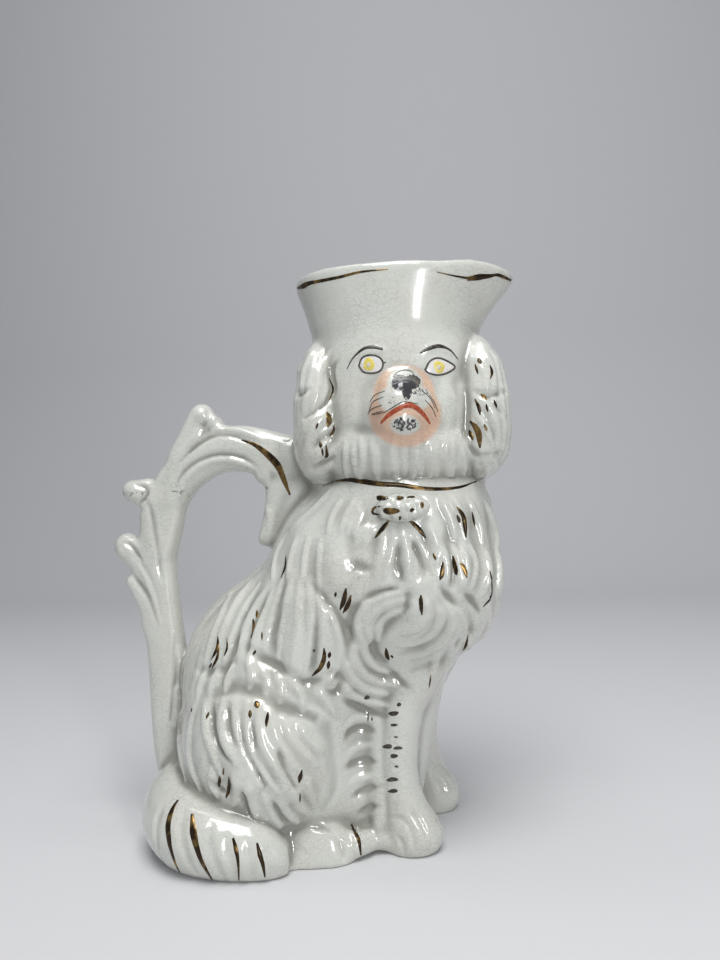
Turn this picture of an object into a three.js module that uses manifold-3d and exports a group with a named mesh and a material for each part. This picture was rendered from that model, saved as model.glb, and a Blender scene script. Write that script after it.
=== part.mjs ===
// A seated spaniel jug in glazed earthenware, about 24 cm tall, put together from the clay
// pieces that the potter moulds and lutes with slip before the firing: two halves of the hollow
// torso, a base slab, two halves of the hollow head, two ears, the flared pouring mouth, the
// scrolled handle, two forelegs, two hind paws, the tail and the knot under the collar.
// Millimetres. +X is the pouring direction, +Y the dog's left flank and +Z is up. The origin is
// on the table, under the middle of the body.
import * as THREE from 'three';
import { mergeVertices } from 'three/addons/utils/BufferGeometryUtils.js';
import Module from 'manifold-3d';

// Whole jug
const collarHeight = 150; // table to the joint between torso and head
const wallThickness = 5; // pressed clay wall
const slipGap = 0.3; // slip that fills each luted joint
const cutOverrun = 4; // how far a cutting solid runs past what it cuts

// Torso
const bodyLength = 148; // rump to the foremost point of the chest
const bodyWidth = 88; // across the haunches
const neckForward = 45; // origin to the axis of neck and head
const torsoSoftness = 9; // blend between the muscles of the torso
const baseThickness = 6;
const ventRadius = 3; // lets the air out of the hollow in the kiln
const ventBack = 16; // behind the middle of the base

// Coat
const tuftWidth = 14; // of a middling lock
const tuftRise = 2.6; // how far it stands out of the torso

// Head
const headHeight = 62; // collar to the foot of the pouring mouth
const headWidth = 76; // across the cheeks
const headDepth = 70; // forehead to back of the head
const headTurn = -85; // degrees from the pouring direction to where the dog looks
const headSoftness = 4;
const muzzleReach = 16; // how far the muzzle stands out of the face

// Ears
const earLength = 60;
const earWidth = 44; // front to back
const earThickness = 25; // of the whole lobe, part of which the head takes away
const earDrop = 1; // foot of the ear above the collar

// Pouring mouth
const mouthHeight = 26.5; // at the sides
const mouthBackReach = 44; // neck axis to the back of the lip
const mouthSideReach = 33;
const mouthFrontReach = 40; // what the lip would reach without the spout
const spoutReach = 12; // the spout beyond that
const spoutSpread = 24; // degrees
const shoulderLift = 2; // the two shoulders of the spout above the rest of the lip
const shoulderTurn = 28; // degrees from the middle of the spout
const shoulderSpread = 16; // degrees
const backLift = 2.5; // the back of the lip above its sides
const lipThickness = 4.2;

// Handle
const handleRise = 28; // collar to the top of the arch
const handleReachShare = 0.5; // upper root back to the edge of the loop, of the body's length
const handleWidth = 18; // across the strap, in the plane of the loop
const handleThickness = 14;
const handleFootHeight = 26; // above the table
const handleRootShare = 0.29; // neck axis back to the upper root, of the body's length
const curlRadius = 5.8; // the rolled tips of the scroll leaves
const curlThickness = 12;

// Legs
const forelegHeight = 92;
const forelegThickness = 16;
const rightForelegAside = 17; // middle of the leg, from the neck axis
const rightForelegBack = 3;
const leftForelegAside = 24;
const leftForelegForward = 3.5; // a little ahead of the right
const pawLength = 28;
const hindPawLength = 42;
const hindPawHeight = 19;
const hindPawWidth = 22;
const hindPawSpacing = 60; // between the middles of the heels
const hindPawTurn = 8; // degrees by which the toes point inwards
const hindPawShare = 0.43; // neck axis back to the heel, of the body's length

// Tail
const tailThickness = 30;

// Knot under the collar
const knotWidth = 21;
const knotHeight = 11;
const knotDepth = 10;
const knotDrop = 10.5; // collar down to the middle of the knot

// Fineness of the faceting
const torsoRows = 34;
const torsoColumns = 100;
const hollowRows = 12;
const hollowColumns = 24;
const headRows = 18;
const headColumns = 48;
const mouthColumns = 48;
const strapSteps = 36;
const strapColumns = 12;
const limbColumns = 18;

const turn = 2 * Math.PI;
const wasm = await Module();
wasm.setup();

// Forms. A form gives roughly the distance from a point to a swelling, negative inside it.

// An egg of clay with its middle and half sizes.
function egg(middle, half) {
  return (point) => {
    const near = point.clone().sub(middle).divide(half);
    const steep = near.clone().divide(half).length();
    const size = near.length();
    return steep > 0 ? (size * (size - 1)) / steep : -Math.min(half.x, half.y, half.z);
  };
}

// A roll of clay between two points, with a radius at each.
function roll(from, fromRadius, to, toRadius) {
  const along = to.clone().sub(from);
  const span = along.lengthSq();
  return (point) => {
    const share = THREE.MathUtils.clamp(point.clone().sub(from).dot(along) / span, 0, 1);
    const foot = from.clone().addScaledVector(along, share);
    return point.distanceTo(foot) - THREE.MathUtils.lerp(fromRadius, toRadius, share);
  };
}

// Several swellings smoothed into one surface.
function blended(forms, softness) {
  return (point) => forms.map((form) => form(point)).reduce((one, other) => {
    const overlap = Math.max(softness - Math.abs(one - other), 0) / softness;
    return Math.min(one, other) - (overlap * overlap * softness) / 4;
  });
}

// How far the surface of a form, grown by some clay, lies from a point inside it.
function reach(form, from, heading, grown, farthest) {
  const steps = 60;
  const caution = 0.8;
  const closeEnough = 0.001;
  let distance = farthest;
  for (let step = 0; step < steps; step += 1) {
    const gap = form(from.clone().addScaledVector(heading, distance)) - grown;
    if (Math.abs(gap) < closeEnough) break;
    distance -= gap * caution;
  }
  return distance;
}

// One level outline of a form, seen from a middle point, as a ring of points.
function outlineOf(form, middle, grown, columns, farthest) {
  return Array.from({ length: columns }, (_, column) => {
    const angle = (turn * column) / columns;
    const heading = new THREE.Vector3(Math.cos(angle), Math.sin(angle), 0);
    return middle.clone().addScaledVector(heading, reach(form, middle, heading, grown, farthest));
  });
}

// Solids

// A closed surface through rings of points, capped at both ends or closed on itself.
function loft(rings, closed = false) {
  const columns = rings[0].length;
  const points = rings.flat();
  const faces = [];
  const last = closed ? rings.length : rings.length - 1;
  for (let row = 0; row < last; row += 1) {
    const above = (row + 1) % rings.length;
    for (let column = 0; column < columns; column += 1) {
      const next = (column + 1) % columns;
      const [a, b] = [row * columns + column, row * columns + next];
      const [c, d] = [above * columns + next, above * columns + column];
      faces.push(a, b, c, a, c, d);
    }
  }
  if (!closed) {
    [0, rings.length - 1].forEach((row) => {
      const hub = new THREE.Vector3();
      rings[row].forEach((point) => hub.addScaledVector(point, 1 / columns));
      points.push(hub);
      for (let column = 0; column < columns; column += 1) {
        const [a, b] = [row * columns + column, row * columns + ((column + 1) % columns)];
        faces.push(...(row === 0 ? [b, a] : [a, b]), points.length - 1);
      }
    });
  }
  const enclosed = faces.reduce((sum, corner, index) => (index % 3 ? sum : sum
    + points[corner].dot(points[faces[index + 1]].clone().cross(points[faces[index + 2]]))), 0);
  if (enclosed < 0) faces.reverse();
  const geometry = new THREE.BufferGeometry().setFromPoints(points);
  geometry.setIndex(faces);
  return geometry;
}

// A three.js geometry as a solid that can be cut and joined.
function solid(geometry) {
  const bare = new THREE.BufferGeometry();
  bare.setAttribute('position', geometry.getAttribute('position'));
  bare.setIndex(geometry.getIndex());
  const merged = mergeVertices(bare);
  return new wasm.Manifold(new wasm.Mesh({
    numProp: 3,
    vertProperties: new Float32Array(merged.getAttribute('position').array),
    triVerts: new Uint32Array(merged.getIndex().array),
  }));
}

// The largest body of a solid, so that no crumb of a cut is left behind.
function largest(body) {
  return body.decompose().reduce((one, other) => (one.volume() > other.volume() ? one : other));
}

const glaze = { color: 0xe4e4da, roughness: 0.12, metalness: 0 };

function piece(name, body) {
  const made = largest(body).getMesh();
  const geometry = new THREE.BufferGeometry();
  geometry.setAttribute('position', new THREE.BufferAttribute(made.vertProperties, 3));
  geometry.setIndex(new THREE.BufferAttribute(made.triVerts, 1));
  geometry.computeVertexNormals();
  const mesh = new THREE.Mesh(geometry, new THREE.MeshStandardMaterial(glaze));
  mesh.name = name;
  return mesh;
}

// A block that keeps or removes everything on one side of a plane across X, Y or Z.
const blockSize = 2 * (collarHeight + headHeight + mouthHeight + bodyLength);
function blockBeyond(axis, start, turnedBy = 0) {
  const block = new THREE.BoxGeometry(blockSize, blockSize, blockSize);
  const move = new THREE.Vector3();
  move[axis] = start + blockSize / 2;
  block.translate(...move.toArray()).rotateZ(turnedBy);
  return block;
}
const belowTable = solid(blockBeyond('z', -blockSize));

// Torso: one smooth form, used for its outer face, its hollow and every seat on it.
const bodyShares = ([forward, left, up]) => new THREE.Vector3(
  neckForward + forward * bodyLength, left * bodyWidth, up * collarHeight,
);
const bodyHalves = ([length, width, height]) => new THREE.Vector3(
  length * bodyLength, width * bodyWidth, height * collarHeight,
);
const torsoEggShares = {
  neck: { middle: [0, 0, 0.93], half: [0.253, 0.42, 0.2] },
  chest: { middle: [0.04, 0, 0.735], half: [0.237, 0.44, 0.255] },
  loin: { middle: [-0.38, 0, 0.42], half: [0.295, 0.43, 0.32] },
  rump: { middle: [-0.39, 0, 0.18], half: [0.315, 0.42, 0.26] },
  rightHaunch: { middle: [-0.405, -0.255, 0.29], half: [0.22, 0.24, 0.2] },
  leftHaunch: { middle: [-0.405, 0.255, 0.29], half: [0.22, 0.24, 0.2] },
};
const torsoRollShares = {
  back: { from: [-0.13, 0, 0.77], to: [-0.44, 0, 0.28], radii: [0.433, 0.385] },
  apron: { from: [-0.02, 0, 0.6], to: [-0.11, 0, 0.1], radii: [0.27, 0.22] },
};
const torsoForm = blended([
  ...Object.values(torsoEggShares).map(({ middle, half }) => egg(bodyShares(middle), bodyHalves(half))),
  ...Object.values(torsoRollShares).map(({ from, to, radii }) => roll(
    bodyShares(from), radii[0] * bodyWidth, bodyShares(to), radii[1] * bodyWidth,
  )),
], torsoSoftness);
const spineFootShare = -0.34; // of the body length behind the neck axis
const spineAt = (height) => new THREE.Vector3(
  neckForward + spineFootShare * bodyLength * (1 - height / collarHeight), 0, height,
);

// A stack of level outlines, run on straight below the first and above the last.
function stack(outlineAt, low, high, rows, below, above) {
  const rings = Array.from({ length: rows + 1 }, (_, row) => (
    outlineAt(THREE.MathUtils.lerp(low, high, row / rows))
  ));
  const moved = (ring, up) => ring.map((point) => point.clone().add(new THREE.Vector3(0, 0, up)));
  if (below > 0) rings.unshift(moved(rings[0], -below));
  if (above > 0) rings.push(moved(rings[rings.length - 1], above));
  return loft(rings);
}

// Broad locks of the coat, the same on both flanks. Each runs from its root to its tip through
// places on the torso, given as a share of a turn from the pouring direction and a share of the
// height. Its width and rise are shares of a middling lock's. The haunches swell under theirs.
const haunchSwellShares = [{ line: [[0.335, 0.38], [0.305, 0.2]], width: 3.6, rise: 0.9 }];
const tuftShares = [
  { line: [[0.5, 0.74], [0.5, 0.6], [0.5, 0.44]], width: 1.1, rise: 0.9 },
  { line: [[0.452, 0.72], [0.438, 0.6], [0.425, 0.43]], width: 1.05, rise: 1 },
  { line: [[0.408, 0.74], [0.39, 0.64], [0.37, 0.51]], width: 0.95, rise: 1 },
  { line: [[0.362, 0.77], [0.336, 0.64], [0.314, 0.5]], width: 1.05, rise: 1.1 },
  { line: [[0.32, 0.73], [0.286, 0.62], [0.262, 0.49]], width: 0.9, rise: 0.9 },
  { line: [[0.39, 0.88], [0.377, 0.8], [0.366, 0.76]], width: 0.9, rise: 0.6 },
  { line: [[0.318, 0.88], [0.302, 0.8], [0.294, 0.75]], width: 1, rise: 0.7 },
  { line: [[0.268, 0.87], [0.258, 0.79], [0.252, 0.7]], width: 0.9, rise: 0.8 },
  { line: [[0.235, 0.88], [0.225, 0.8], [0.22, 0.73]], width: 0.85, rise: 1 },
  { line: [[0.205, 0.88], [0.196, 0.81], [0.18, 0.74]], width: 0.8, rise: 1.1 },
  { line: [[0.165, 0.88], [0.15, 0.79], [0.148, 0.72]], width: 0.9, rise: 1 },
  { line: [[0.13, 0.94], [0.115, 0.84], [0.112, 0.72]], width: 0.9, rise: 1 },
  { line: [[0.085, 0.94], [0.074, 0.82], [0.077, 0.72]], width: 0.95, rise: 1 },
  { line: [[0.03, 0.94], [0.028, 0.82], [0.03, 0.71]], width: 0.95, rise: 1 },
  { line: [[0.192, 0.71], [0.228, 0.68], [0.224, 0.61]], width: 1.1, rise: 1.1 },
  { line: [[0.168, 0.7], [0.148, 0.64], [0.165, 0.58]], width: 1.1, rise: 1 },
  { line: [[0.118, 0.68], [0.1, 0.61], [0.096, 0.54]], width: 1, rise: 1 },
  { line: [[0.072, 0.69], [0.056, 0.62], [0.05, 0.55]], width: 0.95, rise: 1 },
  { line: [[0.02, 0.68], [0.014, 0.61], [0.012, 0.54]], width: 0.9, rise: 0.9 },
  { line: [[0.24, 0.56], [0.205, 0.48], [0.155, 0.435]], width: 0.95, rise: 0.9 },
  { line: [[0.155, 0.54], [0.118, 0.48], [0.11, 0.43]], width: 1.1, rise: 0.8 },
  { line: [[0.07, 0.53], [0.05, 0.47], [0.045, 0.42]], width: 1, rise: 0.8 },
  { line: [[0.408, 0.42], [0.386, 0.32], [0.37, 0.22]], width: 0.85, rise: 0.9 },
  { line: [[0.374, 0.43], [0.35, 0.33], [0.32, 0.23]], width: 0.85, rise: 1 },
  { line: [[0.338, 0.43], [0.31, 0.32], [0.272, 0.22]], width: 0.85, rise: 1 },
  { line: [[0.405, 0.2], [0.395, 0.15], [0.385, 0.1]], width: 0.85, rise: 0.7 },
  { line: [[0.352, 0.21], [0.345, 0.16], [0.335, 0.1]], width: 0.85, rise: 0.8 },
  { line: [[0.3, 0.19], [0.29, 0.14], [0.275, 0.1]], width: 0.85, rise: 0.8 },
];
const tuftRootShares = { width: 0.85, rise: 0.5 };
const tuftTipShares = { width: 0.75, rise: 1 };
const tuftFullness = 0.75; // one is a parabola across, less is fuller

// How far one lock on one flank lifts the skin at a point of it.
function tuft({ line, width, rise }, side) {
  const places = line.map(([turned, up]) => {
    const angle = side * turned * turn;
    const heading = new THREE.Vector3(Math.cos(angle), Math.sin(angle), 0);
    const middle = spineAt(up * collarHeight);
    return middle.clone().addScaledVector(heading, reach(torsoForm, middle, heading, 0, bodyLength));
  });
  const spans = places.slice(1).map((place, index) => new THREE.Line3(places[index], place));
  const foot = new THREE.Vector3();
  return (point) => Math.max(...spans.map((span, index) => {
    const along = span.closestPointToPointParameter(point, true);
    const share = (index + along) / spans.length;
    const halfWidth = (width * tuftWidth * THREE.MathUtils.lerp(
      tuftRootShares.width, tuftTipShares.width, share,
    )) / 2;
    const apart = span.at(along, foot).distanceTo(point) / halfWidth;
    const lift = rise * tuftRise * THREE.MathUtils.lerp(tuftRootShares.rise, tuftTipShares.rise, share);
    return lift * Math.max(1 - apart * apart, 0) ** tuftFullness;
  }));
}
const bothFlanks = (table) => table.flatMap((row) => [tuft(row, 1), tuft(row, -1)]);
const coatLayers = [bothFlanks(haunchSwellShares), bothFlanks(tuftShares)];

// How far the whole coat lifts the skin at a point of it.
function coatAt(point) {
  return coatLayers.reduce((sum, forms) => sum + Math.max(...forms.map((form) => form(point))), 0);
}

// The torso's face moved outwards by some clay; its hollow is the bare face moved inwards.
function torsoBody(grown, rows, columns, below, above) {
  const outlineAt = (height) => {
    const middle = spineAt(height);
    const ring = outlineOf(torsoForm, middle, grown, columns, bodyLength);
    if (grown < 0) return ring;
    const skin = outlineOf(torsoForm, middle, 0, columns, bodyLength);
    return ring.map((point, index) => {
      const heading = point.clone().sub(middle).normalize();
      return point.clone().addScaledVector(heading, coatAt(skin[index]));
    });
  };
  return solid(stack(outlineAt, 0, collarHeight, rows, below, above));
}
const torsoShell = torsoBody(0, torsoRows, torsoColumns, 0, 0)
  .subtract(torsoBody(-wallThickness, hollowRows, hollowColumns, cutOverrun, cutOverrun));
const torsoSeat = torsoBody(slipGap, torsoRows, torsoColumns, cutOverrun, 0);
const leftOfSeam = solid(blockBeyond('y', slipGap / 2));
const rightOfSeam = solid(blockBeyond('y', -slipGap / 2 - blockSize));

// The slab that closes the foot of the torso, inside its wall.
function basePlate() {
  const plate = torsoBody(-wallThickness - slipGap, hollowRows, hollowColumns, 0, 0)
    .subtract(solid(blockBeyond('z', baseThickness)));
  const vent = new THREE.CylinderGeometry(ventRadius, ventRadius, 2 * (baseThickness + cutOverrun));
  vent.rotateX(turn / 4).translate(-ventBack, 0, 0);
  return plate.subtract(solid(vent));
}

// Head: its own form looks along +X and is then turned towards the viewer of its right flank.
const headFoot = collarHeight + slipGap;
const headTop = collarHeight + headHeight;
const headShares = ([forward, left, up]) => new THREE.Vector3(
  forward * headDepth, left * headWidth, collarHeight + up * headHeight,
);
const headHalves = ([depth, width, height]) => new THREE.Vector3(
  depth * headDepth, width * headWidth, height * headHeight,
);
const headEggShares = {
  skull: { middle: [0, -0.01, 0.63], half: [0.5, 0.515, 0.95] },
  ruff: { middle: [0.05, 0, 0.22], half: [0.52, 0.5, 0.33] },
  nape: { middle: [-0.1, 0, 0.1], half: [0.38, 0.46, 0.3] },
  rightCheek: { middle: [0.3, -0.17, 0.45], half: [0.2, 0.17, 0.24] },
  leftCheek: { middle: [0.3, 0.17, 0.45], half: [0.2, 0.17, 0.24] },
};
const muzzleMiddle = headShares([0.45, 0, 0.44]);
const muzzleHalfShares = [0, 0.17, 0.25];
const muzzleHalves = headHalves(muzzleHalfShares).setX(muzzleReach);
const headForm = blended([
  ...Object.values(headEggShares).map(({ middle, half }) => egg(headShares(middle), headHalves(half))),
  egg(muzzleMiddle, muzzleHalves),
], headSoftness);
const headAngle = THREE.MathUtils.degToRad(headTurn);
const facing = (geometry) => geometry.rotateZ(headAngle).translate(neckForward, 0, 0);

function headBody(grown, rows, columns, overrun) {
  const outlineAt = (height) => outlineOf(
    headForm, new THREE.Vector3(0, 0, height), grown, columns, headDepth + headWidth,
  );
  return solid(facing(stack(outlineAt, headFoot, headTop, rows, overrun, overrun)));
}
const headShell = headBody(0, headRows, headColumns, 0)
  .subtract(headBody(-wallThickness, hollowRows, hollowColumns, cutOverrun));
const headSeat = headBody(slipGap, headRows, headColumns, slipGap);
const headSeamBehind = slipGap / 2; // the halves meet through the ears
const faceSide = solid(facing(blockBeyond('x', headSeamBehind)));
const backSide = solid(facing(blockBeyond('x', -headSeamBehind - blockSize)));

// Ears: lobes that hang at each side of the head, from the temple to the collar.
const earStations = [
  // height, depth and thickness as shares of the ear's own sizes
  { upShare: 0, wideShare: 0.3, thickShare: 0.3 },
  { upShare: 0.06, wideShare: 0.62, thickShare: 0.62 },
  { upShare: 0.18, wideShare: 0.9, thickShare: 0.9 },
  { upShare: 0.36, wideShare: 1, thickShare: 1 },
  { upShare: 0.58, wideShare: 0.98, thickShare: 0.98 },
  { upShare: 0.78, wideShare: 0.84, thickShare: 0.8 },
  { upShare: 0.92, wideShare: 0.6, thickShare: 0.5 },
  { upShare: 1, wideShare: 0.26, thickShare: 0.2 },
];
const earForwardShare = 0.14; // of the head's depth
const earOutShare = 0.445; // of the head's width

function ear(side, grown) {
  const rings = earStations.map(({ upShare, wideShare, thickShare }) => {
    const endGrowth = grown * Math.sign(upShare - 1 / 2);
    const height = collarHeight + earDrop + upShare * earLength + endGrowth;
    const [halfWide, halfThick] = [(wideShare * earWidth) / 2 + grown, (thickShare * earThickness) / 2 + grown];
    return Array.from({ length: limbColumns }, (_, column) => {
      const angle = (turn * column) / limbColumns;
      return new THREE.Vector3(
        earForwardShare * headDepth + Math.cos(angle) * halfWide,
        side * (earOutShare * headWidth) + Math.sin(angle) * halfThick,
        height,
      );
    });
  });
  return facing(loft(rings));
}

// Pouring mouth: the head's crown flares out to an egg-shaped lip with a pinched spout.
const flareShares = [0, 0.09, 0.2, 0.34, 0.5, 0.69, 0.88]; // of the way out to the lip
function crownRadius(angle) {
  const from = new THREE.Vector3(0, 0, headTop);
  const heading = new THREE.Vector3(Math.cos(angle - headAngle), Math.sin(angle - headAngle), 0);
  return reach(headForm, from, heading, 0, headDepth + headWidth);
}
function bulge(angle, spread) {
  const nearest = Math.atan2(Math.sin(angle), Math.cos(angle));
  return Math.exp(-((nearest / THREE.MathUtils.degToRad(spread)) ** 2));
}
function lipRadius(angle) {
  const length = Math.cos(angle) > 0 ? mouthFrontReach : mouthBackReach;
  const round = 1 / Math.hypot(Math.cos(angle) / length, Math.sin(angle) / mouthSideReach);
  return round + spoutReach * bulge(angle, spoutSpread);
}
function lipHeight(angle) {
  const shoulder = THREE.MathUtils.degToRad(shoulderTurn);
  const shoulders = bulge(angle - shoulder, shoulderSpread) + bulge(angle + shoulder, shoulderSpread);
  const back = Math.min(Math.cos(angle), 0) ** 2;
  return mouthHeight - lipThickness / 2 + backLift * back + shoulderLift * shoulders;
}

function pouringMouth() {
  const foot = headTop + slipGap;
  const ringAt = (radiusOf, heightOf) => Array.from({ length: mouthColumns }, (_, column) => {
    const angle = (turn * column) / mouthColumns;
    const radius = radiusOf(angle);
    return new THREE.Vector3(neckForward + Math.cos(angle) * radius, Math.sin(angle) * radius, heightOf(angle));
  });
  const riseTo = (share) => (angle) => foot + share * lipHeight(angle);
  const flared = (share, inwards) => (angle) => THREE.MathUtils.lerp(
    crownRadius(angle), lipRadius(angle), share,
  ) - inwards;
  const steps = flareShares.length;
  const outer = flareShares.map((share, row) => ringAt(flared(share, 0), riseTo(row / steps)));
  const lipSteps = 4;
  const lip = Array.from({ length: lipSteps + 1 }, (_, step) => {
    const roundAngle = (turn / 2) * (step / lipSteps);
    const inwards = (lipThickness / 2) * (1 - Math.cos(roundAngle));
    const up = (lipThickness / 2) * Math.sin(roundAngle);
    return ringAt(flared(1, inwards), (angle) => riseTo(1)(angle) + up);
  });
  const inner = flareShares.map((share, row) => {
    const inwards = THREE.MathUtils.lerp(wallThickness, lipThickness, row / steps);
    return ringAt(flared(share, inwards), riseTo(row / steps));
  }).reverse();
  return solid(loft([...outer, ...lip, ...inner], true));
}

// Handle: a strap that leaves the nape, arches back and runs down to the rump, with three leaves
// that curl over at their tips. Its places are shares of its reach back from the upper root and
// of its height above its foot.
const strapShares = [
  // back, up, width, thickness
  [-0.07, 0.87, 1.3, 1.3],
  [0.095, 0.9, 1.2, 1.04],
  [0.23, 0.92, 1.17, 0.94],
  [0.39, 0.94, 1.17, 0.94],
  [0.555, 0.935, 1.14, 0.94],
  [0.7, 0.9, 1.08, 0.94],
  [0.825, 0.84, 1.03, 0.94],
  [0.91, 0.76, 0.97, 0.94],
  [0.955, 0.66, 0.95, 0.94],
  [0.955, 0.565, 0.95, 0.94],
  [0.935, 0.45, 0.95, 0.96],
  [0.905, 0.32, 1, 1.02],
  [0.885, 0.19, 1.06, 1.1],
  [0.865, 0.08, 1.1, 1.25],
  [0.84, 0, 1.1, 1.35],
];
const leafShares = [
  // places where each leaf leaves the strap, where it lies and the middle of its rolled tip, and
  // its half width at each in shares of a curl's radius; the last two are the bracket against
  // the nape and the smallest leaf
  { root: [0.86, 0.78], lift: [0.712, 0.955], tip: [0.645, 1.043], spanShares: [1, 1.6, 0.98] },
  { root: [0.92, 0.62], lift: [0.945, 0.8], tip: [1.1, 0.825], spanShares: [1, 1.9, 0.92] },
  { root: [0.92, 0.38], lift: [1.01, 0.6], tip: [1.15, 0.658], spanShares: [0.9, 1.7, 1.08] },
  { root: [-0.03, 0.9], lift: [0.09, 0.77], tip: [0.245, 0.672], spanShares: [2.6, 2.5, 0.72] },
  { root: [0.91, 0.28], lift: [0.99, 0.47], tip: [1.115, 0.555], spanShares: [0.8, 1.3, 0.5] },
];
const handlePlace = (back, up) => new THREE.Vector3(
  neckForward - (handleRootShare + back * handleReachShare) * bodyLength,
  0,
  THREE.MathUtils.lerp(handleFootHeight, collarHeight + handleRise, up),
);

// A band swept along a curve in the XZ plane, with its half width and half thickness at each step.
function band(curve, steps, halvesAt) {
  return loft(Array.from({ length: steps + 1 }, (_, step) => {
    const share = step / steps;
    const middle = curve.getPointAt(share);
    const tangent = curve.getTangentAt(share);
    const across = new THREE.Vector3(-tangent.z, 0, tangent.x);
    const [halfWide, halfThick] = halvesAt(share);
    const squareness = 0.75;
    return Array.from({ length: strapColumns }, (_, column) => {
      const angle = (turn * column) / strapColumns;
      const [wide, thick] = [Math.cos(angle), Math.sin(angle)]
        .map((value) => Math.sign(value) * Math.abs(value) ** squareness);
      return middle.clone().addScaledVector(across, wide * halfWide)
        .add(new THREE.Vector3(0, thick * halfThick, 0));
    });
  }));
}

function handleStrap() {
  const curve = new THREE.CatmullRomCurve3(strapShares.map(([back, up]) => handlePlace(back, up)));
  const along = (index) => (share) => {
    const place = share * (strapShares.length - 1);
    const before = Math.min(Math.floor(place), strapShares.length - 2);
    return THREE.MathUtils.lerp(strapShares[before][index], strapShares[before + 1][index], place - before);
  };
  return solid(band(curve, strapSteps, (share) => [
    (along(2)(share) * handleWidth) / 2, (along(3)(share) * handleThickness) / 2,
  ]));
}

// A leaf lifts off the strap and ends in a rolled tip.
function scrollLeaf({ root, lift, tip, spanShares }) {
  const curve = new THREE.CatmullRomCurve3([root, lift, tip].map((place) => handlePlace(...place)));
  const leafSteps = 6;
  const spanAt = (share) => (share < 1 / 2
    ? THREE.MathUtils.lerp(spanShares[0], spanShares[1], 2 * share)
    : THREE.MathUtils.lerp(spanShares[1], spanShares[2], 2 * share - 1));
  const leaf = solid(band(curve, leafSteps, (share) => [
    spanAt(share) * curlRadius, THREE.MathUtils.lerp(handleThickness, curlThickness, share) / 2,
  ]));
  const tipRadius = spanShares[2] * curlRadius;
  const rolled = new THREE.SphereGeometry(tipRadius, limbColumns, limbColumns / 2);
  rolled.scale(1, curlThickness / 2 / tipRadius, 1);
  return leaf.add(solid(rolled.translate(...handlePlace(...tip).toArray())));
}

// Limbs

// A lofted limb of level ellipses, from stations of middle and half sizes.
function levelLimb(stations) {
  return loft(stations.map(({ middle, half }) => Array.from({ length: limbColumns }, (_, column) => {
    const angle = (turn * column) / limbColumns;
    return new THREE.Vector3(middle.x + Math.cos(angle) * half.x, middle.y + Math.sin(angle) * half.y, middle.z);
  })));
}

// Height as a share of the leg, how far its middle lies forward and outward in shares of its
// thickness, its half sizes in the same shares, and how far the toes stand out ahead of the leg in
// shares of the paw's length.
const forelegStations = [
  { upShare: 0, middleShares: [0, 0], halfShares: [0.48, 0.54], toeShare: 0.21 },
  { upShare: 0.045, middleShares: [0, 0.02], halfShares: [0.5, 0.62], toeShare: 0.28 },
  { upShare: 0.09, middleShares: [0, 0.02], halfShares: [0.5, 0.62], toeShare: 0.28 },
  { upShare: 0.13, middleShares: [0, 0.02], halfShares: [0.5, 0.6], toeShare: 0.22 },
  { upShare: 0.17, middleShares: [0, 0], halfShares: [0.5, 0.56], toeShare: 0.13 },
  { upShare: 0.21, middleShares: [0, 0], halfShares: [0.49, 0.54], toeShare: 0.05 },
  { upShare: 0.28, middleShares: [-0.03, 0], halfShares: [0.48, 0.53], toeShare: 0 },
  { upShare: 0.36, middleShares: [-0.06, 0], halfShares: [0.46, 0.53], toeShare: 0 },
  { upShare: 0.5, middleShares: [-0.04, -0.04], halfShares: [0.5, 0.56], toeShare: 0 },
  { upShare: 0.6, middleShares: [0.05, -0.1], halfShares: [0.56, 0.6], toeShare: 0 },
  { upShare: 0.68, middleShares: [0.2, -0.18], halfShares: [0.68, 0.66], toeShare: 0 },
  { upShare: 0.85, middleShares: [0.55, -0.38], halfShares: [0.86, 0.72], toeShare: 0 },
  { upShare: 1, middleShares: [0.75, -0.62], halfShares: [0.86, 0.68], toeShare: 0 },
];

function foreleg(aside, forward) {
  return levelLimb(forelegStations.map(({ upShare, middleShares, halfShares, toeShare }) => {
    const toes = (toeShare * pawLength) / 2;
    return {
      middle: new THREE.Vector3(
        neckForward + forward + middleShares[0] * forelegThickness + toes,
        aside + Math.sign(aside) * middleShares[1] * forelegThickness,
        upShare * forelegHeight,
      ),
      half: new THREE.Vector3(halfShares[0] * forelegThickness + toes, halfShares[1] * forelegThickness, 0),
    };
  }));
}

// Length from the heel, then half width and height as shares of the paw's own sizes.
const hindPawStations = [
  [0, 0.3, 0.5],
  [0.1, 0.42, 0.8],
  [0.35, 0.5, 0.95],
  [0.6, 0.5, 1],
  [0.8, 0.48, 0.85],
  [0.93, 0.38, 0.6],
  [1, 0.2, 0.3],
];

function hindPaw(side) {
  const rings = hindPawStations.map(([alongShare, halfShare, heightShare]) => (
    Array.from({ length: limbColumns }, (_, column) => {
      const angle = (turn * column) / limbColumns;
      return new THREE.Vector3(
        alongShare * hindPawLength,
        Math.cos(angle) * halfShare * hindPawWidth,
        Math.sin(angle) * heightShare * hindPawHeight,
      );
    })
  ));
  const paw = loft(rings).rotateZ(-side * THREE.MathUtils.degToRad(hindPawTurn));
  paw.translate(neckForward - hindPawShare * bodyLength, (side * hindPawSpacing) / 2, 0);
  return solid(paw).subtract(belowTable);
}

// The tail comes off the rump and lies round the right flank. Places as shares of the body's
// length and width, height and radius as shares of the tail's thickness.
const tailStations = [
  [-0.62, 0.14, 0.6, 0.44],
  [-0.66, -0.06, 0.6, 0.52],
  [-0.65, -0.25, 0.52, 0.55],
  [-0.58, -0.4, 0.44, 0.52],
  [-0.47, -0.455, 0.37, 0.46],
  [-0.37, -0.45, 0.27, 0.36],
  [-0.32, -0.42, 0.16, 0.22],
];

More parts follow.
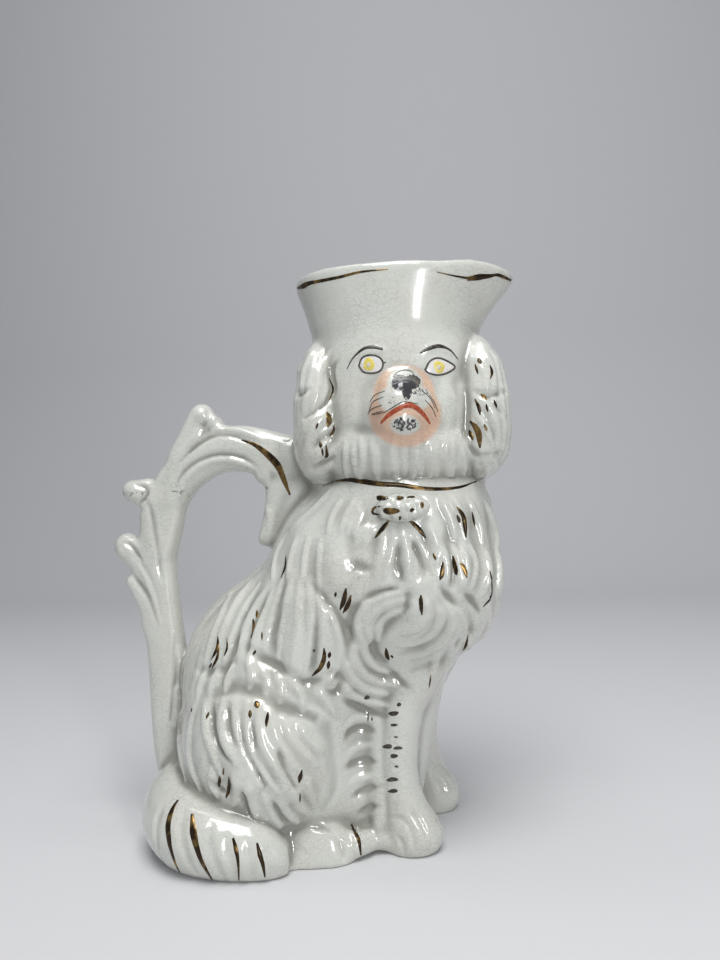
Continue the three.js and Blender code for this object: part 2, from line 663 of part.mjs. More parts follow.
function tail(grown) {
  const curve = new THREE.CatmullRomCurve3(tailStations.map(([forward, left, up]) => new THREE.Vector3(
    neckForward + forward * bodyLength, left * bodyWidth, up * tailThickness,
  )));
  const tailSteps = 22;
  const rings = Array.from({ length: tailSteps + 1 }, (_, step) => {
    const share = step / tailSteps;
    const place = share * (tailStations.length - 1);
    const before = Math.min(Math.floor(place), tailStations.length - 2);
    const radius = grown + tailThickness * THREE.MathUtils.lerp(
      tailStations[before][3], tailStations[before + 1][3], place - before,
    );
    const tangent = curve.getTangent(share);
    const across = new THREE.Vector3(tangent.y, -tangent.x, 0).normalize();
    return Array.from({ length: limbColumns }, (_, column) => {
      const angle = (turn * column) / limbColumns;
      return curve.getPoint(share).addScaledVector(across, Math.cos(angle) * radius)
        .add(new THREE.Vector3(0, 0, Math.sin(angle) * radius));
    });
  });
  return solid(loft(rings)).subtract(belowTable);
}

// The knot sits on the chest, under the middle of the face.
function collarKnot() {
  const from = new THREE.Vector3(neckForward, 0, collarHeight - knotDrop);
  const heading = new THREE.Vector3(Math.cos(headAngle), Math.sin(headAngle), 0);
  const middle = from.clone().addScaledVector(heading, reach(torsoForm, from, heading, 0, bodyLength));
  const knot = new THREE.SphereGeometry(1, limbColumns, limbColumns / 2);
  knot.rotateX(turn / 4).scale(knotDepth / 2, knotWidth / 2, knotHeight / 2).rotateZ(headAngle);
  return solid(knot.translate(...middle.toArray()));
}

// Each applied piece is cut back by the slip's width from what it is luted to.
const torsoAndHead = torsoSeat.add(headSeat);
const tailSolid = tail(0).subtract(torsoSeat);
const rightEar = solid(ear(-1, 0)).subtract(torsoAndHead);
const leftEar = solid(ear(1, 0)).subtract(torsoAndHead);
const handleSolid = leafShares.map(scrollLeaf).reduce((one, other) => one.add(other), handleStrap())
  .subtract(torsoAndHead)
  .subtract(solid(ear(-1, slipGap)))
  .subtract(tail(slipGap));
const hindPawSolid = (side) => hindPaw(side).subtract(torsoSeat).subtract(tail(slipGap));

const jug = new THREE.Group();
jug.add(
  piece('torso_right_half', torsoShell.intersect(rightOfSeam)),
  piece('torso_left_half', torsoShell.intersect(leftOfSeam)),
  piece('base_plate', basePlate()),
  piece('head_face_half', headShell.intersect(faceSide)),
  piece('head_back_half', headShell.intersect(backSide)),
  piece('right_ear', rightEar),
  piece('left_ear', leftEar),
  piece('pouring_mouth', pouringMouth()),
  piece('handle', handleSolid),
  piece('right_foreleg', solid(foreleg(-rightForelegAside, -rightForelegBack)).subtract(torsoSeat)),
  piece('left_foreleg', solid(foreleg(leftForelegAside, leftForelegForward)).subtract(torsoSeat)),
  piece('right_hind_paw', hindPawSolid(-1)),
  piece('left_hind_paw', hindPawSolid(1)),
  piece('tail', tailSolid),
  piece('collar_knot', collarKnot().subtract(torsoAndHead)),
);

export default jug;
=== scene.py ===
import math

import bmesh
import bpy
import numpy as np
from mathutils import Matrix, Vector
from mathutils.bvhtree import BVHTree


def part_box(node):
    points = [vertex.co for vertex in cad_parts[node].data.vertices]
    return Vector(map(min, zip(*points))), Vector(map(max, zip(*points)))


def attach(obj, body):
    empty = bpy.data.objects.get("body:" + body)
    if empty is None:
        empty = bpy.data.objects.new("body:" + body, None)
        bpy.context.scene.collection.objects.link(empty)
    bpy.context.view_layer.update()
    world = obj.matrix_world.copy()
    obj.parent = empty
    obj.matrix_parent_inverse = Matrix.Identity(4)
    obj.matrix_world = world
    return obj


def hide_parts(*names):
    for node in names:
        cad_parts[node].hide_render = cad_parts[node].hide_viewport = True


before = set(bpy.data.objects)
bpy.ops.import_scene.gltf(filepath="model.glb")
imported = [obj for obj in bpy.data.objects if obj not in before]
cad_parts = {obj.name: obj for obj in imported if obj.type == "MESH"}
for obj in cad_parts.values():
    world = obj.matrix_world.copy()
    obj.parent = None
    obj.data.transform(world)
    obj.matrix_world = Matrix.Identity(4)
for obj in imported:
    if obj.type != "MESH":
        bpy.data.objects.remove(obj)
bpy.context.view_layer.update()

# Viewpoint
# The jug stands on a table and is seen from its right side, a little ahead of square on, from
# just above mid-height. Painted marks and pressed locks are laid out in this view's 720 by 960
# frame and are then cast on to the clay, so the eye and its axes are worked out first.
mm = 0.001
frame_height = 960
focal_px = 720.0
frame_middle = (360.0, 480.0)
sensor = 36
view_turn, view_roll, view_pitch = (math.radians(angle) for angle in (8.0, 2.06, 1.965))
neck_ahead, eye_away, eye_aside, eye_height = 45, 317, 18.3, 141.4
view_right = Vector((math.cos(view_turn), math.sin(view_turn), 0))
view_away = Vector((-math.sin(view_turn), math.cos(view_turn), 0))
eye_forward = view_away * math.cos(view_pitch) + Vector((0, 0, math.sin(view_pitch)))
eye_level_up = Vector((0, 0, math.cos(view_pitch))) - view_away * math.sin(view_pitch)
eye_right = view_right * math.cos(view_roll) - eye_level_up * math.sin(view_roll)
eye_up = eye_level_up * math.cos(view_roll) + view_right * math.sin(view_roll)
neck = Vector((neck_ahead * mm, 0, 0))
eye = neck - view_away * eye_away * mm - view_right * eye_aside * mm
eye += Vector((0, 0, eye_height * mm))

camera_data = bpy.data.cameras.new("jug_view")
camera_data.sensor_width = sensor
camera_data.lens = sensor * focal_px / frame_height
camera_data.clip_start = 0.01
camera = bpy.data.objects.new("jug_view", camera_data)
camera.matrix_world = Matrix((
    (eye_right[0], eye_up[0], -eye_forward[0], eye[0]),
    (eye_right[1], eye_up[1], -eye_forward[1], eye[1]),
    (eye_right[2], eye_up[2], -eye_forward[2], eye[2]),
    (0, 0, 0, 1),
))
bpy.context.scene.collection.objects.link(camera)
bpy.context.scene.camera = camera

# Body
# The press-moulded torso with its slab, forelegs, hind paws, tail and scroll handle, luted with
# slip and sponged into one white earthenware body under a clear, crazed lead glaze. The coat is
# pressed in broad tufts with soft ribs, and every joint is a smooth fillet.
# The grey in the hollows is partly pooled glaze and partly painted shade.
clay_white, pooled_glaze_and_shade_grey = (0.60, 0.609, 0.562), (0.25, 0.255, 0.222)
stain_buff, muzzle_pink = (0.50, 0.495, 0.42), (0.60, 0.385, 0.265)
crack_grey, sponge_black = (0.25, 0.245, 0.2), (0.018, 0.018, 0.022)
# Crazing in two sizes: cells to the metre, the share of a cell that the line takes, its strength.
crazing = ((240, 0.05, 0.36), (700, 0.13, 0.26))


def glaze_material(name):
    """Clear glaze over clay blushed or sponged by attributes, with pooled glaze and painted shade
    in hollows.
    """
    material = bpy.data.materials.new(name)
    material.use_nodes = True
    nodes, links = material.node_tree.nodes, material.node_tree.links
    shader = nodes["Principled BSDF"]
    place = nodes.new("ShaderNodeTexCoord")

    def amount(attribute):
        read = nodes.new("ShaderNodeAttribute")
        read.attribute_name = attribute
        return read.outputs["Fac"]

    def noise(scale, detail):
        made = nodes.new("ShaderNodeTexNoise")
        made.inputs["Scale"].default_value = scale
        made.inputs["Detail"].default_value = detail
        links.new(place.outputs["Object"], made.inputs["Vector"])
        return made

    def ranged(value, low, high, to_low, to_high):
        made = nodes.new("ShaderNodeMapRange")
        labels = ("From Min", "From Max", "To Min", "To Max")
        for label, setting in zip(labels, (low, high, to_low, to_high)):
            made.inputs[label].default_value = setting
        links.new(value, made.inputs["Value"])
        return made.outputs[0]

    def mixed(share, one, other, blend="MIX"):
        made = nodes.new("ShaderNodeMix")
        made.data_type = "RGBA"
        made.blend_type = blend
        for number, value in ((0, share), (6, one), (7, other)):
            if isinstance(value, float):
                made.inputs[number].default_value = value
            elif isinstance(value, tuple):
                made.inputs[number].default_value = (*value, 1)
            else:
                links.new(value, made.inputs[number])
        return made.outputs[2]

    # Painted shade and pooled glaze: the clay is greyed in its hollows.
    colour = mixed(amount("hollow"), clay_white, pooled_glaze_and_shade_grey)
    stain = noise(30, 4)
    colour = mixed(ranged(stain.outputs["Fac"], 0.48, 0.72, 0.0, 0.35), colour, stain_buff)
    colour = mixed(0.14, colour, noise(95, 3).outputs["Fac"], "MULTIPLY")
    colour = mixed(amount("blush"), colour, muzzle_pink)

    bend = noise(240, 1)
    bent = nodes.new("ShaderNodeVectorMath")
    bent.operation = "MULTIPLY_ADD"
    bent.inputs[1].default_value = (0.0022, 0.0022, 0.0022)
    links.new(bend.outputs["Color"], bent.inputs[0])
    links.new(place.outputs["Object"], bent.inputs[2])
    flatter = nodes.new("ShaderNodeVectorMath")
    flatter.operation = "MULTIPLY"
    flatter.inputs[1].default_value = (1, 1, 1.9)
    links.new(bent.outputs[0], flatter.inputs[0])
    patches = noise(45, 2)
    cracks = []
    for cells_per_metre, width, strength in crazing:
        cell = nodes.new("ShaderNodeTexVoronoi")
        cell.feature = "DISTANCE_TO_EDGE"
        cell.inputs["Scale"].default_value = cells_per_metre
        links.new(flatter.outputs[0], cell.inputs["Vector"])
        line = ranged(cell.outputs["Distance"], 0, width, strength, 0)
        here = nodes.new("ShaderNodeMath")
        here.operation = "MULTIPLY"
        links.new(line, here.inputs[0])
        links.new(ranged(patches.outputs["Fac"], 0.35, 0.6, 0.25, 1), here.inputs[1])
        colour = mixed(here.outputs[0], colour, crack_grey)
        cracks.append(here.outputs[0])

    dab = nodes.new("ShaderNodeMath")
    links.new(noise(900, 2).outputs["Fac"], dab.inputs[0])
    links.new(amount("sponged"), dab.inputs[1])
    sponged = ranged(dab.outputs[0], 0.97, 1.09, 0, 0.97)
    colour = mixed(sponged, colour, sponge_black)
    links.new(colour, shader.inputs["Base Color"])

    depth = nodes.new("ShaderNodeMath")
    depth.operation = "MULTIPLY_ADD"
    depth.inputs[1].default_value = -0.5
    links.new(cracks[0], depth.inputs[0])
    links.new(noise(130, 2).outputs["Fac"], depth.inputs[2])
    bump = nodes.new("ShaderNodeBump")
    bump.inputs["Strength"].default_value = 0.16
    bump.inputs["Distance"].default_value = 0.0006
    links.new(depth.outputs[0], bump.inputs["Height"])
    links.new(bump.outputs["Normal"], shader.inputs["Normal"])
    links.new(ranged(stain.outputs["Fac"], 0.3, 0.7, 0.13, 0.2), shader.inputs["Roughness"])
    shader.inputs["IOR"].default_value = 1.52
    shader.inputs["Coat Weight"].default_value = 0.6
    shader.inputs["Coat Roughness"].default_value = 0.03
    return material


def applied(skin, kind, **settings):
    """Finishes a skin with one modifier and keeps the result as its mesh."""
    modifier = skin.modifiers.new(kind.lower(), kind)
    for setting, value in settings.items():
        setattr(modifier, setting, value)
    depsgraph = bpy.context.evaluated_depsgraph_get()
    finished = bpy.data.meshes.new_from_object(skin.evaluated_get(depsgraph))
    skin.modifiers.clear()
    skin.data, spent = finished, skin.data
    finished.name = spent.name
    bpy.data.meshes.remove(spent)


def places_of(mesh):
    place = np.empty(len(mesh.vertices) * 3)
    mesh.vertices.foreach_get("co", place)
    return place.reshape(-1, 3)


def facing_of(mesh):
    facing = np.empty(len(mesh.vertices) * 3, np.float32)
    mesh.vertex_normals.foreach_get("vector", facing)
    return facing.reshape(-1, 3).astype(float)


def put_places(mesh, place):
    mesh.vertices.foreach_set("co", place.ravel())
    mesh.update()


def evener(mesh):
    """A function that moves each value of a mesh's vertices to the average of its neighbours."""
    count = len(mesh.vertices)
    edges = np.empty(len(mesh.edges) * 2, np.int32)
    mesh.edges.foreach_get("vertices", edges)
    one, other = edges.reshape(-1, 2).T
    valence = np.bincount(one, minlength=count) + np.bincount(other, minlength=count)

    def evened(values):
        total = np.stack([
            np.bincount(one, values[other, k], count) + np.bincount(other, values[one, k], count)
            for k in range(values.shape[1])], axis=1)
        return total / valence[:, None]
    return evened


# Millimetres: how far pieces swell to close the slip joints between them, how shallow a hollow
# takes no slip, and how much a melted joint may wear down in a turn.
swell, dry_hollow, melt_wear = 0.25, 0.03, 0.004
melt_turns, melt_share = 60, 0.6


def clay_skin(name, nodes, grain, rounding, luting, fillets=(), melted=()):
    """One skin over CAD nodes: swollen across the slip joints, fused, rounded, and with slip
    sponged into the sharp inner corners where pieces meet. Fillets are balls of slip, each a
    middle and a radius, and melted gives the heights and depths of joints that are filled."""
    raw = bmesh.new()
    for middle, radius in fillets:
        bmesh.ops.create_icosphere(raw, subdivisions=3, radius=radius * mm,
                                   matrix=Matrix.Translation([value * mm for value in middle]))
    for node in nodes:
        part = bmesh.new()
        part.from_mesh(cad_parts[node].data)
        bmesh.ops.remove_doubles(part, verts=part.verts, dist=0.002 * mm)
        part.normal_update()
        for vert in part.verts:
            vert.co += vert.normal * swell * mm
        copy = bpy.data.meshes.new(node + "_copy")
        part.to_mesh(copy)
        part.free()
        raw.from_mesh(copy)
        bpy.data.meshes.remove(copy)
    mesh = bpy.data.meshes.new(name)
    raw.to_mesh(mesh)
    raw.free()
    skin = bpy.data.objects.new(name, mesh)
    bpy.context.scene.collection.objects.link(skin)
    applied(skin, "REMESH", mode="VOXEL", voxel_size=grain * mm)

    mesh = skin.data
    evened = evener(mesh)
    place = places_of(mesh)
    soft = place
    for _ in range(rounding):
        soft = 0.5 * soft + 0.5 * evened(soft)
    lost = place - soft
    for _ in range(rounding):
        lost = 0.5 * lost + 0.5 * evened(lost)
    place = soft + lost
    for turn in range(luting):
        if turn % 10 == 0:
            put_places(mesh, place)
            facing = facing_of(mesh)
        sunk = np.einsum("vk,vk->v", evened(place) - place, facing)
        place = place + facing * np.maximum(sunk - dry_hollow * mm, 0)[:, None]
    for _ in range(4):
        place = 0.5 * place + 0.5 * evened(place)
    for height, depth in melted:
        share = melt_share * np.exp(-((place[:, 2] / mm - height) / depth) ** 2)
        for turn in range(melt_turns):
            if turn % 10 == 0:
                put_places(mesh, place)
                facing = facing_of(mesh)
            sunk = np.einsum("vk,vk->v", evened(place) - place, facing)
            place = place + facing * (share * np.maximum(sunk, -melt_wear * mm))[:, None]
    put_places(mesh, place)
    return skin


def surface_of(*skins):
    """A tree for casting and snapping on to one or more skins."""
    corners, faces = [], []
    for skin in skins:
        start = len(corners)
        corners += [vert.co.copy() for vert in skin.data.vertices]
        faces += [[start + index for index in face.vertices] for face in skin.data.polygons]
    return BVHTree.FromPolygons(corners, faces)


def smooth_run(points, steps):
    """A curve through points, with as many steps in each span."""
    points = np.asarray(points, float)
    if len(points) == 2:
        share = np.linspace(0, 1, steps)[:, None]
        return points[0] * (1 - share) + points[1] * share
    padded = np.vstack([2 * points[0] - points[1], points, 2 * points[-1] - points[-2]])
    run = []
    for place in np.linspace(0, len(points) - 1, steps):
        span = min(int(place), len(points) - 2)
        t = place - span
        a, b, c, d = padded[span:span + 4]
        run.append(0.5 * (2 * b + (c - a) * t + (2 * a - 5 * b + 4 * c - d) * t * t
                          + (3 * b - a - 3 * c + d) * t ** 3))
    return np.array(run)


def sight(px, py):
    """The direction from the eye through one place in the frame."""
    across = (px - frame_middle[0]) / focal_px
    down = (py - frame_middle[1]) / focal_px
    return (eye_forward + eye_right * across - eye_up * down).normalized()


longest_leap = 12


def cast_run(surface, places, steps=11):
    """A run of places in the frame, cast on to the clay: its points and the clay's normals. A
    place that falls far behind the one before it is left out."""
    points, normals = [], []
    for px, py in smooth_run(places, steps):
        hit, normal, _, _ = surface.ray_cast(eye, sight(px, py))
        if hit is not None and (not points or (hit - points[-1]).length < longest_leap * mm):
            points.append(hit)
            normals.append(normal)
    return np.array(points), np.array(normals)


def snap_run(surface, points):
    """A run of points moved on to the nearest clay, with the clay's normals there."""
    found = [surface.find_nearest(Vector(point)) for point in points]
    return np.array([f[0] for f in found]), np.array([f[1] for f in found])


def press(skin, marks):
    """Presses ribs and furrows into a skin. A mark is its points, their normals, its half width,
    its rise, which is negative for a furrow, and how far it covers the marks before it."""
    mesh = skin.data
    place, facing = places_of(mesh), facing_of(mesh)
    height = np.zeros(len(place))
    for points, normals, half_width, rise, cover in marks:
        if len(points) < 3:
            continue
        near = np.all(place > points.min(0) - half_width, axis=1)
        near &= np.all(place < points.max(0) + half_width, axis=1)
        near &= facing @ normals[len(normals) // 2] > 0
        index = np.nonzero(near)[0]
        if len(index) == 0:
            continue
        here = place[index]
        start, along = points[:-1], np.diff(points, axis=0)
        length = np.linalg.norm(along, axis=1) + 1e-9
        run_length = np.concatenate([[0], np.cumsum(length)])
        share = np.einsum("vsk,sk->vs", here[:, None] - start, along) / (length ** 2)
        share = np.clip(share, 0, 1)
        apart = here[:, None] - (start + share[..., None] * along)
        distance = np.linalg.norm(apart, axis=2)
        best = distance.argmin(1)
        row = np.arange(len(index))
        t = (run_length[best] + share[row, best] * length[best]) / run_length[-1]
        spread = half_width * np.interp(t, [0, 0.2, 0.7, 1], [0.7, 1, 0.95, 0.6])
        inside = np.clip(1 - (distance[row, best] / spread) ** 2, 0, 1)
        crown = rise * inside ** 1.1 * np.interp(t, [0, 0.2, 0.8, 1], [0.3, 1, 1, 0.55])
        height[index] = height[index] * (1 - cover * np.clip(2 * inside, 0, 1)) + crown
    put_places(mesh, place + facing * height[:, None])


# How deep a hollow is for its full grey of painted shade and pooled glaze, and how widely its level
# is evened.
hollow_shade_depth, hollow_shade_reach = 0.7, 40


def settle(skin):
    """Softens the pressed edges and notes the hollows, for pooled glaze and painted shade."""
    mesh = skin.data
    evened = evener(mesh)
    place = places_of(mesh)
    for _ in range(2):
        place = 0.65 * place + 0.35 * evened(place)
    put_places(mesh, place)
    level = place
    for _ in range(hollow_shade_reach):
        level = evened(level)
    depth = np.einsum("vk,vk->v", level - place, facing_of(mesh))
    hollow = mesh.attributes.new("hollow", "FLOAT", "POINT")
    hollow.data.foreach_set("value", np.clip(depth / (hollow_shade_depth * mm), 0, 1).astype(np.float32))
    mesh.polygons.foreach_set("use_smooth", np.ones(len(mesh.polygons), bool))


def thinned(skin, limit=196000):
    """Leaves fewer faces where a skin is plain."""
    triangles = sum(len(face.vertices) - 2 for face in skin.data.polygons)
    if triangles > limit:
        applied(skin, "DECIMATE", ratio=limit / triangles)
    skin.data.polygons.foreach_set("use_smooth", np.ones(len(skin.data.polygons), bool))


glaze = glaze_material("crazed_glaze")
body_nodes = ["torso_right_half", "torso_left_half", "base_plate", "right_foreleg", "left_foreleg",
              "right_hind_paw", "left_hind_paw", "tail", "handle"]
head_nodes = ["head_face_half", "head_back_half", "right_ear", "left_ear", "pouring_mouth"]
collar_height, collar_overlap = 150, 1


def slip_run(rows, count, sides=(1,)):
    """A run of slip along a joint: balls evenly between rows of x, y, z and radius."""
    rows = np.array(rows, float)
    share = np.linspace(0, len(rows) - 1, count)
    x, y, z, radius = [np.interp(share, range(len(rows)), column) for column in rows.T]
    return [((a, b * side, c), r) for side in sides for a, b, c, r in zip(x, y, z, radius)]


# Slip at the nape, down the foreleg, round the paws and the tail, behind the ears, and in the
# handle's curls.
slip = slip_run([(11, 0, 162, 10), (-8, 0, 129, 8.5)], 9)
slip += slip_run([(33.5, -19, 66, 4), (33.5, -19, 40, 4.6), (33.5, -19, 11, 5)], 20)
slip += slip_run([(22, -27.5, 5.6, 5.2), (26, -24.5, 5.2, 4.8), (30, -19.5, 5.6, 5),
                  (34, -19.5, 6.2, 5.9)], 8)
slip += slip_run([(22, 27.5, 5.6, 5.2), (26, 24.5, 5.2, 4.8)], 3)
slip += slip_run([(-3, -33, 4.6, 4.2), (-3, -33, 8, 4.5), (-2, -30, 11, 4.5)], 3)
slip += slip_run([(19.6, -23, 201.3, 4.2), (22.6, -25.3, 188.3, 4.4), (22.3, -26.6, 176, 4.6),
                  (19.3, -27, 166, 4.5), (18.2, -25.6, 160, 4.2)], 17)
slip += slip_run([(76, -14.5, 203, 3.8), (74.5, -17.2, 198.5, 5), (73.8, -20.2, 186, 6),
                  (73.4, -20.6, 173.8, 6.2), (73.4, -21.6, 166, 5.4)], 17)
for curl in ((-44.8, 3.2, 184.4, 4.1), (-77.2, 3.4, 150.4, 4.3), (-82.6, 3.2, 123.7, 3.9),
             (-40, 2.5, 181.5, 3.5), (-36.5, 2.4, 177, 3.8), (-16.2, 1.2, 156.6, 5)):
    slip += slip_run([curl], 1, (1, -1))
jug = clay_skin("jug_skin", body_nodes + head_nodes, grain=0.8, rounding=18, luting=110,
                fillets=slip, melted=((211, 7), (150, 2.5)))
bare_jug = surface_of(jug)

# Swells, ribs and furrows as places in the frame, in groups with a half width and rise in
# millimetres and how far each covers what is under it.
swells = [
    ([(262, 712), (272, 760), (268, 804)], 25, 1.6),
    ([(292, 585), (294, 630), (296, 660)], 11, 1.2), ([(333, 552), (335, 572), (336, 596)], 7, 1.1),
    ([(406, 652), (411, 668), (410, 684)], 9, 0.9), ([(246, 590), (228, 622), (214, 660)], 7, 0.8),
    ([(404, 530), (404, 552), (408, 576)], 4.5, 1.2),
]
back_ribs = [
    [(243, 574), (226, 604), (213, 634), (205, 662)],
    [(251, 580), (235, 605), (223, 632), (212, 664)],
    [(259, 584), (243, 612), (231, 640), (223, 664)],
    [(266, 588), (250, 616), (242, 638), (238, 656)], [(275, 588), (260, 618), (251, 642)],
    [(206, 668), (200, 684), (197, 700)], [(219, 666), (212, 682), (209, 700)],
]
flank_ribs = [
    [(284, 576), (273, 610), (264, 648)], [(292, 572), (286, 612), (278, 658)],
    [(300, 574), (298, 620), (292, 668)], [(309, 578), (311, 625), (305, 676)],
    [(318, 590), (323, 630), (319, 674)], [(327, 602), (338, 634), (339, 662), (329, 682)],
    [(247, 660), (251, 674), (249, 688)], [(260, 668), (266, 680), (265, 694)],
    [(277, 676), (281, 690), (280, 702)], [(294, 684), (301, 696), (303, 710)],
    [(316, 690), (327, 702), (335, 716)], [(232, 660), (228, 674), (224, 690)],
]
flank_furrows = [
    [(268, 594), (252, 630), (244, 656)], [(240, 634), (229, 662), (221, 684)],
    [(312, 584), (333, 610), (347, 634), (351, 658)],
    [(324, 676), (334, 673), (341, 682), (337, 692), (328, 691)],
]
tuft_edges = [
    [(244, 646), (258, 656), (272, 663), (288, 673), (304, 682), (320, 680)],
    [(196, 668), (208, 672), (222, 668), (234, 662)],
]
haunch_edge = [[(212, 696), (232, 688), (250, 690), (264, 697), (278, 706), (294, 712), (314, 718)]]
knee_edge = [[(310, 716), (328, 734), (334, 768), (333, 794), (323, 808)]]
shoulder_ribs = [
    [(342, 498), (333, 514), (327, 532)], [(355, 497), (347, 514), (340, 532)],
    [(360, 502), (352, 518), (348, 534)], [(330, 490), (318, 504), (303, 518), (290, 530)],
    [(368, 524), (360, 534), (356, 544)], [(376, 526), (368, 535), (363, 546)],
    [(284, 536), (276, 556), (272, 578)], [(296, 538), (290, 560), (288, 580)],
    [(308, 538), (304, 560), (303, 582)], [(320, 540), (319, 562), (319, 586)],
]
haunch_ribs = [
    [(195, 704), (190, 732), (190, 760), (200, 790)],
    [(205, 702), (206, 732), (214, 756), (222, 776)],
    [(222, 700), (221, 728), (229, 750), (236, 764)],
    [(234, 702), (237, 732), (248, 757), (261, 779)],
    [(246, 702), (250, 736), (261, 761), (275, 787)],
    [(258, 706), (262, 740), (273, 761), (289, 785)],
    [(270, 712), (276, 738), (288, 758), (303, 778)],
    [(283, 718), (292, 738), (304, 753), (316, 766)], [(298, 724), (308, 738), (322, 752)],
    [(234, 772), (237, 788), (233, 804)], [(247, 782), (252, 800), (256, 816)],
    [(263, 790), (270, 808), (280, 826)], [(278, 796), (286, 812), (297, 822)],
    [(291, 788), (298, 803), (308, 814)], [(304, 776), (309, 789), (315, 802)],
    [(212, 768), (212, 782), (217, 796)], [(184, 704), (180, 740), (186, 780)],
]
haunch_furrows = [
    [(213, 704), (213, 730), (222, 751), (232, 762)],
    [(241, 727), (244, 746), (254, 766), (266, 784)],
    [(253, 722), (257, 750), (268, 770), (280, 788)], [(278, 746), (283, 770), (295, 788)],
    [(228, 704), (230, 728), (238, 748)], [(212, 780), (217, 787), (225, 792)],
    [(242, 790), (246, 804), (250, 814)], [(272, 800), (280, 814), (288, 822)],
]
chest_ribs = [
    [(384, 528), (382, 550), (374, 574)],
    [(394, 526), (392, 550), (384, 576)], [(402, 528), (407, 550), (410, 572)],
    [(413, 528), (422, 552), (428, 574)],
    [(428, 524), (438, 548), (436, 566)], [(440, 498), (450, 518), (455, 538)],
    [(453, 498), (463, 518), (467, 540)], [(468, 498), (478, 520), (483, 544)],
    [(484, 500), (494, 524), (498, 546)], [(441, 545), (447, 566), (446, 586)],
    [(452, 545), (459, 566), (460, 589)], [(470, 545), (476, 566), (472, 588)],
    [(486, 550), (490, 572), (484, 594)], [(497, 548), (500, 572), (496, 598)],
    [(362, 508), (358, 520), (354, 534)], [(462, 548), (467, 566), (464, 590)],
]
chest_furrows = [
    [(410, 540), (421, 556), (430, 576)], [(398, 542), (399, 560), (402, 580)],
    [(438, 582), (448, 597), (461, 608)], [(364, 599), (380, 592), (397, 589)],
    [(462, 590), (472, 600), (479, 612)],
]
chest_pits = [[(352, 564), (360, 567), (368, 568)]]
swirl_ribs = [
    [(363, 642), (367, 656), (376, 667), (388, 672)],
    [(352, 642), (354, 660), (364, 674), (380, 682), (395, 684)],
    [(343, 656), (351, 677), (367, 690), (386, 694)],
    [(340, 680), (351, 694), (370, 702), (388, 705)], [(468, 632), (466, 650), (456, 666)],
    [(452, 642), (449, 660), (440, 678)], [(436, 654), (434, 670), (426, 688)],
    [(487, 594), (489, 620), (476, 650)], [(497, 600), (498, 616), (488, 636)],
    [(457, 604), (465, 628), (453, 656)], [(472, 606), (477, 628), (464, 654)],
    [(444, 600), (453, 620), (445, 641), (426, 653), (408, 656)],
    [(433, 600), (441, 616), (434, 632), (416, 643), (400, 646)],
    [(421, 596), (428, 611), (420, 627), (404, 635)], [(410, 598), (414, 608), (408, 620)],
    [(403, 591), (382, 597), (365, 608), (357, 624), (360, 640)],
    [(402, 600), (386, 605), (373, 615), (367, 628), (371, 643)],
    [(402, 610), (390, 614), (380, 624), (378, 640)],
]
swirl_furrows = [
    [(362, 600), (352, 612), (349, 628), (354, 644)],
    [(390, 670), (400, 680), (412, 692)], [(404, 590), (409, 600), (404, 612)],
    [(372, 640), (376, 654), (386, 662)],
]
apron_furrows = [
    [(345, 740), (351, 731), (362, 728), (374, 731)],
    [(346, 768), (354, 763), (366, 760), (376, 763)], [(352, 798), (365, 790), (380, 787)],
    [(358, 814), (370, 808), (380, 807)], [(344, 700), (356, 706), (372, 713), (386, 716)],
]
apron_ribs = [
    [(347, 757), (356, 747), (372, 744)], [(348, 786), (360, 778), (376, 775)],
    [(346, 726), (358, 718), (376, 720)],
]
toe_furrows = [
    [(392, 817), (403, 820), (410, 830), (415, 850)], [(410, 808), (419, 819), (427, 834)],
    [(397, 836), (403, 846), (403, 858)], [(437, 775), (442, 783), (446, 792)],
    [(447, 778), (450, 783), (452, 790)], [(312, 827), (325, 829), (337, 836)],
    [(336, 838), (342, 848), (344, 862)], [(348, 832), (352, 842), (352, 858)],
]
tail_furrows = [
    [(162, 806), (156, 826), (157, 848), (163, 866)],
    [(184, 812), (181, 836), (188, 860), (198, 878)],
    [(211, 826), (210, 846), (217, 868), (228, 886)],
    [(228, 834), (227, 850), (232, 868), (238, 886)], [(247, 842), (250, 858), (253, 886)],
    [(268, 848), (272, 862), (274, 880)],
]
handle_furrows = [
    [(254, 445), (242, 439), (230, 435), (215, 435), (203, 441), (192, 449), (182, 458),
     (172, 474)],
    [(262, 474), (250, 462), (237, 456), (222, 454), (210, 456), (197, 461), (186, 469), (179, 478),
     (175, 490)], [(146, 500), (151, 514), (154, 530), (157, 550), (161, 580)],
    [(133, 556), (145, 570), (155, 594), (160, 618)], [(133, 575), (149, 598), (157, 624)],
    [(176, 640), (174, 680), (170, 720)],
]
curl_furrows = [
    [(138, 504), (144, 499), (147, 492), (144, 487), (136, 485)],
    [(122, 544), (127, 543), (132, 547), (137, 554), (142, 561)],
]
soft_curls = [
    [(196, 427), (205, 424), (210, 417), (207, 409)],
    [(205, 426), (201, 434), (194, 442), (184, 452)],
]
handle_ribs = [
    [(266, 474), (252, 467), (237, 461), (222, 460), (208, 462), (196, 469), (187, 479), (180, 494),
     (175, 512), (172, 545), (171, 580), (173, 620), (178, 660)],
    [(262, 440), (248, 433), (232, 429), (218, 430)],
    [(205, 428), (192, 442), (178, 460), (164, 482)], [(138, 560), (151, 588), (160, 624)],
    [(262, 500), (270, 518), (266, 536)],
]
